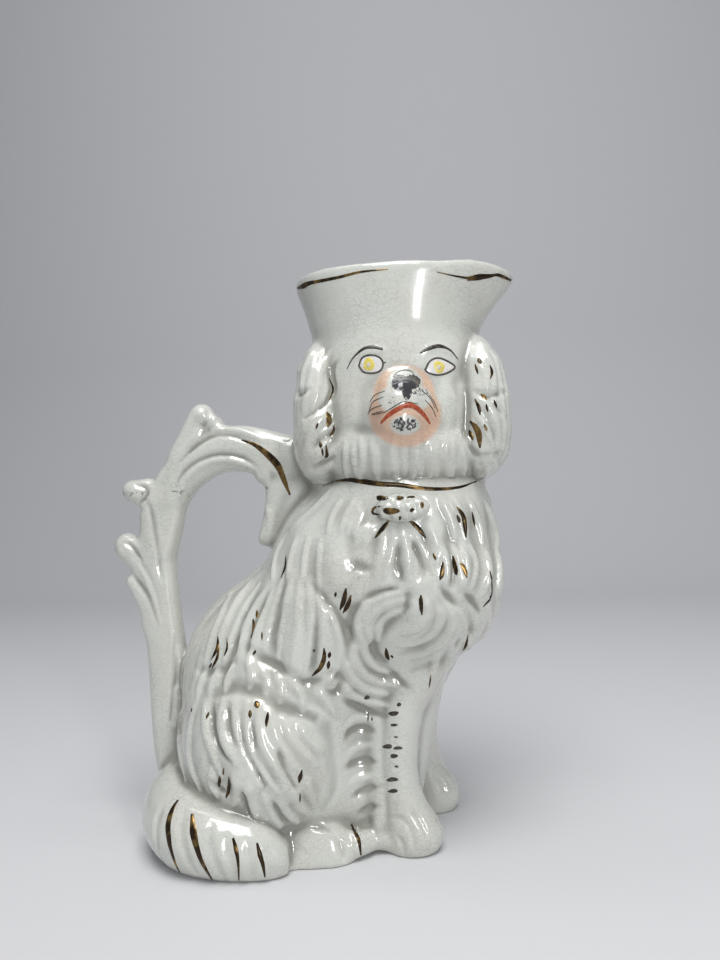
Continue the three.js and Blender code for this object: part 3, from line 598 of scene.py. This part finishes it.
body_groups = [
    (haunch_edge, 4.2, -1.4, 0), (knee_edge, 4, -0.8, 0), (haunch_ribs, 2.5, 1.45, 0.3),
    (haunch_furrows, 1.7, -1.5, 0),
    (flank_ribs, 2.2, 1.15, 0.3), (back_ribs, 2.1, 1.05, 0.3), (flank_furrows, 2.2, -1.2, 0),
    (tuft_edges, 2.8, -1, 0), (swirl_ribs, 2.2, 1.05, 0.35), (swirl_furrows, 2.1, -0.9, 0),
    (chest_ribs, 2, 1.3, 0.3), (chest_furrows, 2.1, -1.2, 0), (chest_pits, 3.3, -1.3, 0),
    (shoulder_ribs, 1.8, 1.1, 0.2), (apron_furrows, 2, -0.9, 0), (apron_ribs, 2.4, 0.6, 0),
    (toe_furrows, 1.4, -0.8, 0), (tail_furrows, 2.4, -0.9, 0), (handle_furrows, 1.6, -1, 0),
    (curl_furrows, 1.3, -1.3, 0), (soft_curls, 1.5, -0.7, 0), (handle_ribs, 2, 0.8, 0),
]
body_groups = [([places], half, rise, 0) for places, half, rise in swells] + body_groups
marks = []
for group, half, rise, cover in body_groups:
    for places in group:
        points, normals = cast_run(bare_jug, places)
        if len(points) < 3:
            continue
        marks.append((points, normals, half * mm, rise * mm, cover))
        far_points, far_normals = snap_run(bare_jug, points * (1, -1, 1))
        marks.append((far_points, far_normals, half * mm, rise * mm, cover))

# Long strands down the back, which this view sees edge on.
for aside in (-13, -8.5, -4, 0.5, 5, 9.5, 14):
    strand = [(x, aside + 1.2 * math.sin(x / 7), z) for x, z in
              ((-16, 131), (-30, 116), (-42, 99), (-52, 80), (-58, 62), (-60, 46))]
    points, normals = snap_run(bare_jug, smooth_run(strand, 16) * mm)
    marks.append((points, normals, 2.3 * mm, 0.9 * mm, 0.25))
press(jug, marks)


def part_of(skin, name, low, high):
    """The faces of a skin between two heights, as a piece of its own."""
    form = bmesh.new()
    form.from_mesh(skin.data)
    beyond = [face for face in form.faces if not low < face.calc_center_median().z / mm < high]
    bmesh.ops.delete(form, geom=beyond, context="FACES")
    mesh = bpy.data.meshes.new(name)
    form.to_mesh(mesh)
    form.free()
    piece = bpy.data.objects.new(name, mesh)
    bpy.context.scene.collection.objects.link(piece)
    return piece


# Head, ears and mouth
# The two halves of the head with their hanging ears and the flared pouring mouth, luted into one
# and glazed like the body. The muzzle is blushed pink, and nose and chin are dabbed black with
# a sponge under the glaze. Head and body are one skin up to here, and are parted at the collar.
beard_ribs = []
for k in range(15):
    px = 345 + 8.4 * k + 2.2 * math.sin(2.7 * k)
    beard_ribs.append([(px, 441 + 5 * math.sin(1.9 * k)), (px + 1.6 * math.sin(4.1 * k), 458),
                       (px + 1 + 1.4 * math.sin(2.3 * k), 476 + 3 * math.sin(3.4 * k))])
cheek_furrows = [
    [(346, 426), (362, 430), (378, 431), (396, 440)], [(467, 376), (468, 410), (464, 442)],
]
cheek_ribs = [
    [(459, 374), (461, 404), (458, 434)], [(350, 360), (363, 351), (384, 351)],
    [(421, 352), (440, 347), (457, 357)], [(466, 446), (475, 458), (478, 472)],
]
lip_furrow = [[(379, 424), (390, 415), (405, 408), (419, 411), (430, 423)]]
nose_and_chin = [[(396, 384), (405, 383), (415, 383)], [(397, 427), (405, 426), (414, 427)]]
right_ear_ribs = [
    [(322, 349), (314, 362), (309, 385), (302, 408)],
    [(330, 351), (321, 368), (318, 388), (312, 406)], [(313, 350), (303, 372), (301, 392)],
    [(330, 412), (314, 428), (303, 452)], [(332, 424), (324, 442), (315, 464)],
    [(320, 412), (305, 428), (297, 444)], [(334, 446), (330, 458), (325, 472)],
]
right_ear_furrows = [
    [(337, 361), (331, 372), (333, 386), (330, 398), (321, 408), (304, 418)],
    [(296, 396), (302, 393), (309, 390)], [(336, 430), (323, 438), (312, 448)],
    [(309, 470), (322, 464), (334, 456)],
]
left_ear_ribs = [
    [(484, 350), (492, 366), (496, 386)], [(478, 362), (486, 375), (487, 392)],
    [(493, 398), (501, 410), (508, 428)], [(484, 400), (496, 418), (501, 440)],
    [(478, 414), (488, 432), (494, 446)], [(486, 450), (494, 460), (498, 472)],
    [(476, 446), (484, 460), (487, 474)],
]
left_ear_furrows = [
    [(474, 392), (488, 396), (506, 392)], [(468, 446), (482, 456), (505, 452)],
    [(480, 408), (491, 428), (497, 446)], [(489, 398), (504, 416), (510, 440)],
]
head_groups = [
    (beard_ribs, 1.8, 0.95, 0.3), (cheek_furrows, 2.6, -0.4, 0), (cheek_ribs, 2.4, 0.5, 0),
    (nose_and_chin, 4, 0.8, 0), (lip_furrow, 1.5, -0.8, 0), (right_ear_ribs, 2.2, 0.8, 0.3),
    (right_ear_furrows, 1.8, -1.3, 0), (left_ear_ribs, 2.1, 0.8, 0.3),
    (left_ear_furrows, 1.7, -1.2, 0),
]
marks = []
for group, half, rise, cover in head_groups:
    for places in group:
        marks.append((*cast_run(bare_jug, places), half * mm, rise * mm, cover))

# Locks down the broad faces of the ears, which this view sees edge on.
ear_locks = 7
for ear, outwards in (("right_ear", -1), ("left_ear", 1)):
    low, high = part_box(ear)
    for lock in range(ear_locks):
        share = (lock + 0.5) / ear_locks
        depth = low[1] + (high[1] - low[1]) * share
        for top, tip in ((0.95, 0.62), (0.66, 0.3), (0.36, 0.06)):
            heights = np.linspace(top, tip - 0.03 * (lock % 2), 6)
            wave = 1.6 * mm * np.sin(math.tau * heights * 1.3 + lock)
            out = (high[0] if outwards > 0 else low[0]) + outwards * 4 * mm
            lock_run = [(out, depth + sway, low[2] + (high[2] - low[2]) * h)
                        for h, sway in zip(heights, wave)]
            points, normals = snap_run(bare_jug, lock_run)
            if (normals[:, 0] * outwards).min() > 0.4:
                marks.append((points, normals, 2.2 * mm, 0.8 * mm, 0.35))

# The right ear was pressed flatter on its outer side than the left one.
low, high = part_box("right_ear")
flat_depth = low[1] + (high[1] - low[1]) * 0.42
pressed = [(low[0] - 4 * mm, flat_depth, low[2] + (high[2] - low[2]) * share)
           for share in np.linspace(0.92, 0.2, 8)]
marks.append((*snap_run(bare_jug, pressed), 16 * mm, -2.2 * mm, 0))

# Two rows of locks down the back of the head, which this view does not see.
for lock in range(15):
    for top, tip in ((207, 183), (185, 159)):
        x = 20 + 3.6 * lock + (1.8 if top < 200 else 0)
        lock_run = [(x + 1.5 * math.sin(z / 6 + lock), 45, z)
                    for z in np.linspace(top, tip - 3 * (lock % 2), 8)]
        points, normals = snap_run(bare_jug, np.array(lock_run) * mm)
        if normals[:, 1].min() > 0.15:
            marks.append((points, normals, 2.3 * mm, 0.9 * mm, 0.3))
press(jug, marks)


def frame_places(points):
    """Where points show in the frame."""
    apart = points - np.array(eye)
    depth = apart @ np.array(eye_forward)
    return np.stack([frame_middle[0] + focal_px * (apart @ np.array(eye_right)) / depth,
                     frame_middle[1] - focal_px * (apart @ np.array(eye_up)) / depth], axis=1)


def dabs(shown, ovals, softness):
    """How strongly ovals in the frame, each with a middle, half sizes and strength, cover it."""
    strength = np.zeros(len(shown))
    for px, py, half_across, half_down, most in ovals:
        share = np.hypot((shown[:, 0] - px) / half_across, (shown[:, 1] - py) / half_down)
        strength = np.maximum(strength, most * np.clip((1 - share) / softness + 0.5, 0, 1))
    return strength


shown = frame_places(places_of(jug.data))
in_front = np.clip(-(facing_of(jug.data) @ np.array(eye_forward)) * 4, 0, 1)
muzzle_blush = dabs(shown, [(404, 396, 31, 31, 0.9), (405, 414, 36, 33, 0.9)], 0.12)
white_snout = dabs(shown, [(405, 384, 18, 17, 1), (393, 399, 15, 13, 1), (418, 398, 13, 12, 1),
                           (405, 425, 15, 10, 1)], 0.14)
sponge_ovals = [(400, 383, 9, 9, 0.8), (412, 382, 9, 8, 0.8), (407, 392, 5, 9, 0.75),
                (420, 392, 9, 5, 0.5), (405, 424, 14, 8, 0.58), (389, 400, 9, 7, 0.42)]
for attribute, value in (("blush", muzzle_blush * (1 - white_snout)),
                         ("sponged", dabs(shown, sponge_ovals, 0.4))):
    layer = jug.data.attributes.new(attribute, "FLOAT", "POINT")
    layer.data.foreach_set("value", (value * in_front).astype(np.float32))
settle(jug)
body = part_of(jug, "body_skin", -10, collar_height + collar_overlap)
head = part_of(jug, "head_skin", collar_height - collar_overlap, 1000)
bpy.data.objects.remove(jug)
thinned(body)
thinned(head)
body.data.materials.append(glaze)
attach(body, "root")
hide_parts(*body_nodes)
head.data.materials.append(glaze)
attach(head, "root")
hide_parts(*head_nodes)

# Knot
# A bumpy boss under the collar, made of clay pellets rolled by hand and pressed on to a pad of
# clay, then glazed with the body.
bare_knot = surface_of(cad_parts["collar_knot"])
pellets = []
pellet_radius, pellet_depth = 2.3, 1.2
for px, py in ((379, 503), (389, 499), (400, 498), (410, 499), (419, 503), (376, 509), (387, 508),
               (398, 507), (409, 508), (420, 510), (384, 515), (395, 516), (406, 516), (414, 514)):
    hit, normal, _, _ = bare_knot.ray_cast(eye, sight(px, py))
    if hit is not None:
        pellets.append((tuple((hit / mm) - pellet_depth * normal), pellet_radius))
knot = clay_skin("knot_skin", ["collar_knot"], grain=0.35, rounding=5, luting=0, fillets=pellets)
settle(knot)
knot.data.materials.append(glaze)
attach(knot, "root")
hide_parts("collar_knot")

# Gilding
# Best gold brushed on in single strokes and fired: a line round the lip, the collar, the knot's
# ties, the handle's root, tail stripes and short leaf dashes over the coat. The gold is worn, and
# its colour is darkened almost to black as painted dark reflection, with patches of duller gold.
painted = surface_of(body, head, knot)
brush_spread = 1.35
seen_edge_on = -0.3


def stroke(form, places, widths, lift=0.13, surface=painted, far=False):
    """One brush stroke: a thin film that follows the clay, its edges sunk into it. Its fellow on
    the far side is left out where the near one is seen edge on."""
    steps = max(5, 4 * len(places))
    points, normals = cast_run(surface, places, steps)
    if len(points) < 3:
        return
    if far:
        if (normals @ np.array(eye_forward)).max() > seen_edge_on:
            return
        points, normals = snap_run(surface, points * (1, -1, 1))
    share = np.linspace(0, 1, len(points))
    width = np.interp(share, np.linspace(0, 1, len(widths)), widths) * brush_spread * mm
    along = np.gradient(points, axis=0)
    side = np.cross(normals, along)
    side /= np.linalg.norm(side, axis=1)[:, None] + 1e-12
    rows = []
    section = ((-0.5, -0.12), (-0.36, lift), (0, lift + 0.05), (0.36, lift), (0.5, -0.12))
    for across, rise in section:
        moved, turned = snap_run(surface, points + side * (width * across)[:, None])
        rows.append([form.verts.new(point) for point in moved + turned * rise * mm])
    for one, other in zip(rows, rows[1:]):
        for step in range(len(points) - 1):
            form.faces.new((one[step], one[step + 1], other[step + 1], other[step]))


def film(form, outline, lift, surface=painted):
    """A flat dab of enamel inside an outline in the frame, its edge sunk into the clay."""
    outline = smooth_run(outline + [outline[0]], 4 * len(outline) + 1)[:-1]
    middle = outline.mean(0)
    rings = []
    for share, rise in ((1, -0.1), (0.9, lift), (0.5, lift + 0.02)):
        ring = []
        for place in middle + (outline - middle) * share:
            hit, normal, _, _ = surface.ray_cast(eye, sight(*place))
            ring.append(form.verts.new(hit + normal * rise * mm))
        rings.append(ring)
    hit, normal, _, _ = surface.ray_cast(eye, sight(*middle))
    tip = form.verts.new(hit + normal * (lift + 0.02) * mm)
    count = len(outline)
    for one, other in zip(rings, rings[1:]):
        for step in range(count):
            after = (step + 1) % count
            form.faces.new((one[step], one[after], other[after], other[step]))
    for step in range(count):
        form.faces.new((rings[-1][step], rings[-1][(step + 1) % count], tip))


def oval(px, py, across, down, count=16):
    """A dab with an uneven edge."""
    turns = [math.tau * k / count for k in range(count)]
    reach = [1 + 0.1 * math.sin(2 * turn + px) + 0.08 * math.sin(3 * turn + py) for turn in turns]
    return [(px + across * share * math.cos(turn), py + down * share * math.sin(turn))
            for turn, share in zip(turns, reach)]


def painted_piece(name, form, material):
    """Makes one piece of brushed strokes and dabs, with every face outwards."""
    for face in form.faces:
        face.smooth = True
    form.normal_update()
    for face in form.faces:
        _, clay_normal, _, _ = painted.find_nearest(face.calc_center_median())
        if face.normal.dot(clay_normal) < 0:
            face.normal_flip()
    mesh = bpy.data.meshes.new(name)
    form.to_mesh(mesh)
    form.free()
    mesh.materials.append(material)
    piece = bpy.data.objects.new(name, mesh)
    bpy.context.scene.collection.objects.link(piece)
    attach(piece, "root")


def enamel(name, colour, worn, roughness, metallic=0, scale=700, sound=0.42):
    """A brushed film whose colour and gloss wear in small patches, beyond its sound share."""
    material = bpy.data.materials.new(name)
    material.use_nodes = True
    nodes, links = material.node_tree.nodes, material.node_tree.links
    shader = nodes["Principled BSDF"]
    place = nodes.new("ShaderNodeTexCoord")
    wear = nodes.new("ShaderNodeTexNoise")
    wear.inputs["Scale"].default_value = scale
    wear.inputs["Detail"].default_value = 4
    links.new(place.outputs["Object"], wear.inputs["Vector"])
    ramp = nodes.new("ShaderNodeValToRGB")
    ramp.color_ramp.elements[0].position = sound
    ramp.color_ramp.elements[0].color = (*colour, 1)
    ramp.color_ramp.elements[1].position = sound + 0.24
    ramp.color_ramp.elements[1].color = (*worn, 1)
    links.new(wear.outputs["Fac"], ramp.inputs["Fac"])
    links.new(ramp.outputs["Color"], shader.inputs["Base Color"])
    gloss = nodes.new("ShaderNodeMapRange")
    gloss.inputs["To Min"].default_value = roughness - 0.08
    gloss.inputs["To Max"].default_value = roughness + 0.16
    links.new(wear.outputs["Fac"], gloss.inputs["Value"])
    links.new(gloss.outputs[0], shader.inputs["Roughness"])
    bump = nodes.new("ShaderNodeBump")
    bump.inputs["Strength"].default_value = 0.25
    bump.inputs["Distance"].default_value = 0.0002
    links.new(wear.outputs["Fac"], bump.inputs["Height"])
    links.new(bump.outputs["Normal"], shader.inputs["Normal"])
    shader.inputs["Metallic"].default_value = metallic
    return material


lip_line = [(296, 289), (303, 286), (310, 283), (320, 281), (340, 277), (360, 272), (388, 269)]
lip_front = [(467, 279), (480, 277), (490, 276), (498, 275), (508, 279), (516, 283)]
lip_thin = [(437, 272), (455, 276), (467, 278)]
collar = [
    (336, 481), (352, 480), (366, 482), (380, 484), (400, 485), (420, 488), (440, 489), (460, 487),
    (477, 481),
]
handle_root = [(242, 440), (255, 445), (268, 455), (278, 466), (284, 480), (290, 495)]
tail_stripes = [
    ([(178, 800), (172, 810), (168, 825), (169, 840), (171, 850), (176, 865), (183, 877)],
     (0.8, 2.2, 2.2, 1.6, 0.6)),
    ([(192, 814), (193, 830), (196, 845), (201, 860), (208, 873), (216, 885)],
     (1, 2.6, 1.9, 1.5, 0.6)),
    ([(233, 838), (236, 850), (238, 862), (239, 880)], (0.8, 1.5, 1, 0.5)),
    ([(257, 843), (260, 855), (263, 865), (265, 877)], (0.7, 1.6, 1.2, 0.5)),
    ([(351, 824), (356, 834), (359, 841), (361, 855)], (0.8, 1.5, 1.5, 0.6)),
]
# Leaf dashes on the coat: places in the frame and the greatest width in millimetres.
chest_leaves = [
    ([(457, 507), (463, 515), (465, 523), (466, 538)], 2), ([(457, 515), (460, 523)], 1.2),
    ([(472, 512), (475, 527)], 0.9), ([(433, 553), (436, 560)], 1),
    ([(443, 562), (442, 573), (440, 580)], 1.7), ([(453, 556), (455, 568), (457, 575)], 2),
    ([(460, 563), (464, 568), (467, 578)], 1.7),
    ([(490, 571), (492, 583), (491, 597), (483, 607)], 1.4),
    ([(421, 595), (421, 603), (422, 615)], 1.6), ([(468, 635), (466, 645), (463, 651)], 1),
    ([(431, 675), (429, 688)], 0.7), ([(386, 648), (387, 656), (389, 660)], 1.6),
    ([(391, 655), (393, 658)], 0.9),
]
flank_leaves = [
    ([(286, 556), (285, 567), (281, 578)], 1.3), ([(346, 588), (344, 600), (340, 610)], 1.8),
    ([(351, 595), (348, 605), (343, 613)], 1.7), ([(336, 592), (335, 597)], 0.9),
    ([(257, 610), (257, 618)], 1.1), ([(253, 619), (254, 628), (251, 638)], 1.4),
    ([(262, 632), (262, 640)], 0.8), ([(256, 650), (253, 655)], 0.9),
    ([(324, 648), (324, 658), (320, 668), (312, 676)], 1.8), ([(330, 652), (329, 658)], 1.3),
    ([(329, 661), (328, 669)], 1.3), ([(313, 650), (315, 651)], 0.9),
    ([(218, 636), (217, 648), (211, 660)], 1.3), ([(219, 648), (217, 658), (212, 668)], 1.2),
    ([(212, 663), (209, 668)], 0.8), ([(227, 638), (227, 648), (224, 656)], 0.9),
]
haunch_leaves = [
    ([(256, 701), (258, 708)], 2.2), ([(250, 710), (250, 718)], 1.3),
    ([(268, 712), (266, 727)], 1.3), ([(209, 712), (206, 719)], 0.9),
    ([(192, 708), (191, 712)], 0.8), ([(220, 776), (219, 787)], 1.5),
    ([(224, 768), (223, 775)], 0.8), ([(229, 777), (229, 788), (226, 798)], 1.7),
    ([(302, 770), (299, 783)], 1.7), ([(300, 793), (300, 802)], 0.9),
]
right_ear_leaves = [
    ([(329, 378), (333, 390), (328, 402)], 0.8), ([(327, 412), (329, 419), (328, 427)], 2.6),
    ([(318, 423), (316, 429)], 0.9), ([(334, 424), (333, 432), (329, 436)], 1),
    ([(320, 442), (321, 448)], 1.3), ([(326, 445), (327, 455), (325, 458)], 1.3),
    ([(322, 448), (323, 456)], 0.9),
]
left_ear_leaves = [
    ([(478, 358), (481, 364)], 1.6), ([(475, 364), (478, 374)], 0.9),
    ([(490, 365), (492, 372), (490, 379)], 1.1), ([(475, 399), (479, 408), (480, 415)], 1.3),
    ([(481, 394), (487, 400)], 1.6), ([(486, 404), (488, 412)], 0.9),
    ([(494, 400), (497, 408)], 0.9), ([(470, 421), (476, 428), (479, 436), (480, 448)], 2.4),
    ([(469, 430), (473, 440)], 1.5), ([(484, 424), (487, 431)], 1.2),
]
knot_dabs = [
    (382, 498, 7, 2.5), (400, 498, 4, 2), (411, 497, 4, 1.2), (391, 511, 8, 4), (400, 518, 1.5, 2),
    (412, 510, 2.5, 2), (422, 505, 1.8, 3.5),
]
knot_ties = [
    ([(381, 506), (374, 508), (373, 513), (381, 515)], 1),
    ([(389, 521), (383, 528), (375, 538)], 1.8), ([(410, 521), (417, 527), (426, 538)], 1.8),
]
leaf_shape = (0.25, 0.8, 1, 0.85, 0.2)
gilt = bmesh.new()
stroke(gilt, lip_line, (0.9, 2.2, 1.3, 1.2, 1.1, 0.9, 0.3))
stroke(gilt, lip_thin, (0.3, 0.6, 0.9))
stroke(gilt, lip_front, (1.4, 2.2, 1.6, 1, 1.3, 0.9))
stroke(gilt, collar, (0.6, 1.9, 2, 2, 1.9, 1.5, 1.3, 1, 0.4))
for far in (False, True):
    stroke(gilt, handle_root, (0.6, 1.6, 2.6, 2.9, 2.2, 0.7), far=far)
for places, widths in tail_stripes:
    stroke(gilt, places, widths)
for leaves in (chest_leaves, flank_leaves, haunch_leaves):
    for places, width in leaves:
        for far in (False, True):
            stroke(gilt, places, [width * share for share in leaf_shape], far=far)
for places, width in right_ear_leaves + left_ear_leaves + knot_ties:
    stroke(gilt, places, [width * share for share in leaf_shape])
for px, py, across, down in knot_dabs:
    film(gilt, oval(px, py, across, down), 0.14)
# Painted reflection: the gold is near black, with duller gold in patches, standing in for dark
# surroundings reflected in it.
gilding = enamel("worn_gold_with_painted_dark_reflection", (0.04, 0.028, 0.015), (0.34, 0.215, 0.075), 0.24,
                 metallic=0.85, scale=190, sound=0.5)
painted_piece("gilt_marks", gilt, gilding)

# Black enamel
# The brows, the lines round the eyes, the lashes, whiskers and mouth line, and the rungs of
# dashes up the near foreleg, drawn with a fine brush.
eye_lines = [
    ([(359, 366), (362, 358), (370, 355), (379, 357), (383, 363), (381, 370), (374, 373),
      (364, 372), (359, 366)], 0.6),
    ([(425, 370), (430, 361), (438, 358), (447, 361), (455, 367), (447, 373), (437, 375),
      (429, 373), (425, 370)], 0.6),
]
brows = [
    ([(347, 369), (353, 358), (363, 349), (372, 347), (383, 349)], (0.3, 0.5, 1.2, 1.5, 1)),
    ([(420, 353), (430, 348), (440, 346), (450, 350), (458, 359)], (0.6, 1.5, 1.5, 0.8, 0.3)),
    ([(383, 363), (386, 362)], (0.8, 0.3)),
]
whiskers = [
    [(385, 391), (375, 395), (370, 402)], [(383, 397), (373, 402), (369, 412)],
    [(382, 405), (372, 409), (368, 414)], [(383, 411), (372, 414)],
    [(421, 390), (430, 398), (435, 408)], [(427, 392), (434, 402), (438, 412)],
    [(425, 400), (432, 408), (436, 417)],
    [(393, 377), (398, 372), (405, 370), (412, 372), (416, 380)],
    [(372, 415), (385, 412), (400, 403), (408, 402), (418, 404)],
]
leg_rungs = [
    (399, 704.5, 2.3, 2), (393.5, 713.5, 5.8, 2.3), (394, 725, 4.2, 1.3), (396, 737, 2.2, 0.8),
    (387.5, 746.5, 5.6, 2.2), (398, 748, 4.4, 1.9), (394, 756, 4.4, 2.1), (396.5, 766.5, 2, 1.2),
    (392.5, 779.5, 6, 2.3), (393, 791, 5.4, 2), (367, 697.5, 2.8, 2.4),
]
leg_ticks = [([(368, 712), (368, 722)], 0.6), ([(372, 717), (372, 721)], 0.6)]
black = bmesh.new()
for places, width in eye_lines:
    stroke(black, places, (width,), lift=0.24)
for places, widths in brows:
    stroke(black, places, widths)
for places in whiskers:
    stroke(black, places, (0.2, 0.35, 0.2))
for px, py, across, down in leg_rungs:
    film(black, oval(px, py, across, down), 0.14)
for places, width in leg_ticks:
    stroke(black, places, [width * share for share in leaf_shape])
brushwork = enamel("black_brushwork", (0.022, 0.019, 0.014), (0.075, 0.068, 0.05), 0.3)
painted_piece("black_lines", black, brushwork)

# Eyes
# Almonds of white enamel, each with a yellow ring for the iris round a pale, stippled pupil.
# Every colour is a film of its own, brushed on over the glaze and fired at a low heat.
eye_white_form = bmesh.new()
for places, _ in eye_lines:
    film(eye_white_form, places[:-1], 0.07)
eye_white = enamel("eye_white", (0.62, 0.61, 0.6), (0.66, 0.63, 0.6), 0.2)
painted_piece("eye_whites", eye_white_form, eye_white)
iris_form, pupil_form = bmesh.new(), bmesh.new()
for px, py, radius in ((369, 364.5, 6.6), (439, 367, 6.2)):
    film(iris_form, oval(px, py, radius, radius), 0.13)
    film(pupil_form, oval(px - 0.3, py + 0.3, 2.6, 2.6), 0.2)
iris_yellow = enamel("yellow_enamel", (0.60, 0.49, 0.06), (0.68, 0.6, 0.24), 0.25, scale=1500)
painted_piece("irises", iris_form, iris_yellow)
pupil_pale = enamel("pale_enamel", (0.62, 0.57, 0.5), (0.45, 0.38, 0.28), 0.25, scale=1700)
painted_piece("pupils", pupil_form, pupil_pale)

# Lips
# One arched stroke of iron red enamel along the mouth, thick in the middle and drawn out at both
# corners, fired with the other enamels.
lips = bmesh.new()
stroke(lips, [(381, 423), (390, 414), (400, 408), (409, 405), (418, 409), (426, 418), (430, 424)],
       (0.8, 1.6, 1.8, 1.8, 1.7, 1.4, 0.7))
lip_red = enamel("red_enamel", (0.33, 0.05, 0.012), (0.42, 0.1, 0.035), 0.25)
painted_piece("lip_line", lips, lip_red)

# Table and light
# A pale table top that curves up into a backdrop, one tall narrow light like a window ahead and to
# the right, a broad one above on the left, a wide weak one low on the left and one on the backdrop.
backdrop_reach, backdrop_bend, backdrop_width = 0.75, 0.5, 5
floor_form = bmesh.new()
edge = [floor_form.verts.new((-backdrop_width / 2, y, 0)) for y in (-2.5, backdrop_reach)]
floor_form.edges.new(edge)
bmesh.ops.spin(floor_form, geom=[edge[1]], cent=(0, backdrop_reach, backdrop_bend), axis=(1, 0, 0),
               angle=math.pi / 2, steps=16)
foot = max(floor_form.verts, key=lambda vert: vert.co.z)
top = bmesh.ops.extrude_vert_indiv(floor_form, verts=[foot])["verts"]
bmesh.ops.translate(floor_form, verts=top, vec=(0, 0, 2))
sheet = bmesh.ops.extrude_edge_only(floor_form, edges=floor_form.edges[:])["geom"]
far_edge = [item for item in sheet if isinstance(item, bmesh.types.BMVert)]
bmesh.ops.translate(floor_form, verts=far_edge, vec=(backdrop_width, 0, 0))
bmesh.ops.recalc_face_normals(floor_form, faces=floor_form.faces)
for face in floor_form.faces:
    face.smooth = True
floor_mesh = bpy.data.meshes.new("table_top")
floor_form.to_mesh(floor_mesh)
floor_form.free()
floor = bpy.data.objects.new("table_top", floor_mesh)
bpy.context.scene.collection.objects.link(floor)
floor_paint = bpy.data.materials.new("table_paint")
floor_paint.use_nodes = True
floor_shader = floor_paint.node_tree.nodes["Principled BSDF"]
floor_shader.inputs["Base Color"].default_value = (0.6, 0.6, 0.61, 1)
floor_shader.inputs["Roughness"].default_value = 0.7
floor_mesh.materials.append(floor_paint)

world = bpy.data.worlds.new("studio")
bpy.context.scene.world = world
world.use_nodes = True
room_light = world.node_tree.nodes["Background"]
room_light.inputs["Color"].default_value = (0.9, 0.93, 1, 1)
room_light.inputs["Strength"].default_value = 0.3


def soft_light(name, place, size, power, aim=(0.01, 0, 0.12)):
    lamp = bpy.data.lights.new(name, "AREA")
    lamp.shape = "RECTANGLE"
    lamp.size, lamp.size_y = size
    lamp.energy = power
    holder = bpy.data.objects.new(name, lamp)
    holder.location = place
    holder.rotation_euler = (Vector(aim) - Vector(place)).to_track_quat("-Z", "Y").to_euler()
    bpy.context.scene.collection.objects.link(holder)


soft_light("window", (0.52, -0.8, 0.28), (0.11, 0.3), 3)
soft_light("above", (0.08, -0.4, 1.0), (0.55, 0.55), 8.2)
soft_light("left_fill", (-1.0, -0.7, 0.3), (1.2, 1.2), 0.6)
soft_light("backdrop_wash", (0, 0.1, 1.9), (1.6, 0.5), 7, aim=(0, 1.25, 0.8))

bpy.context.scene.view_settings.view_transform = "Standard"
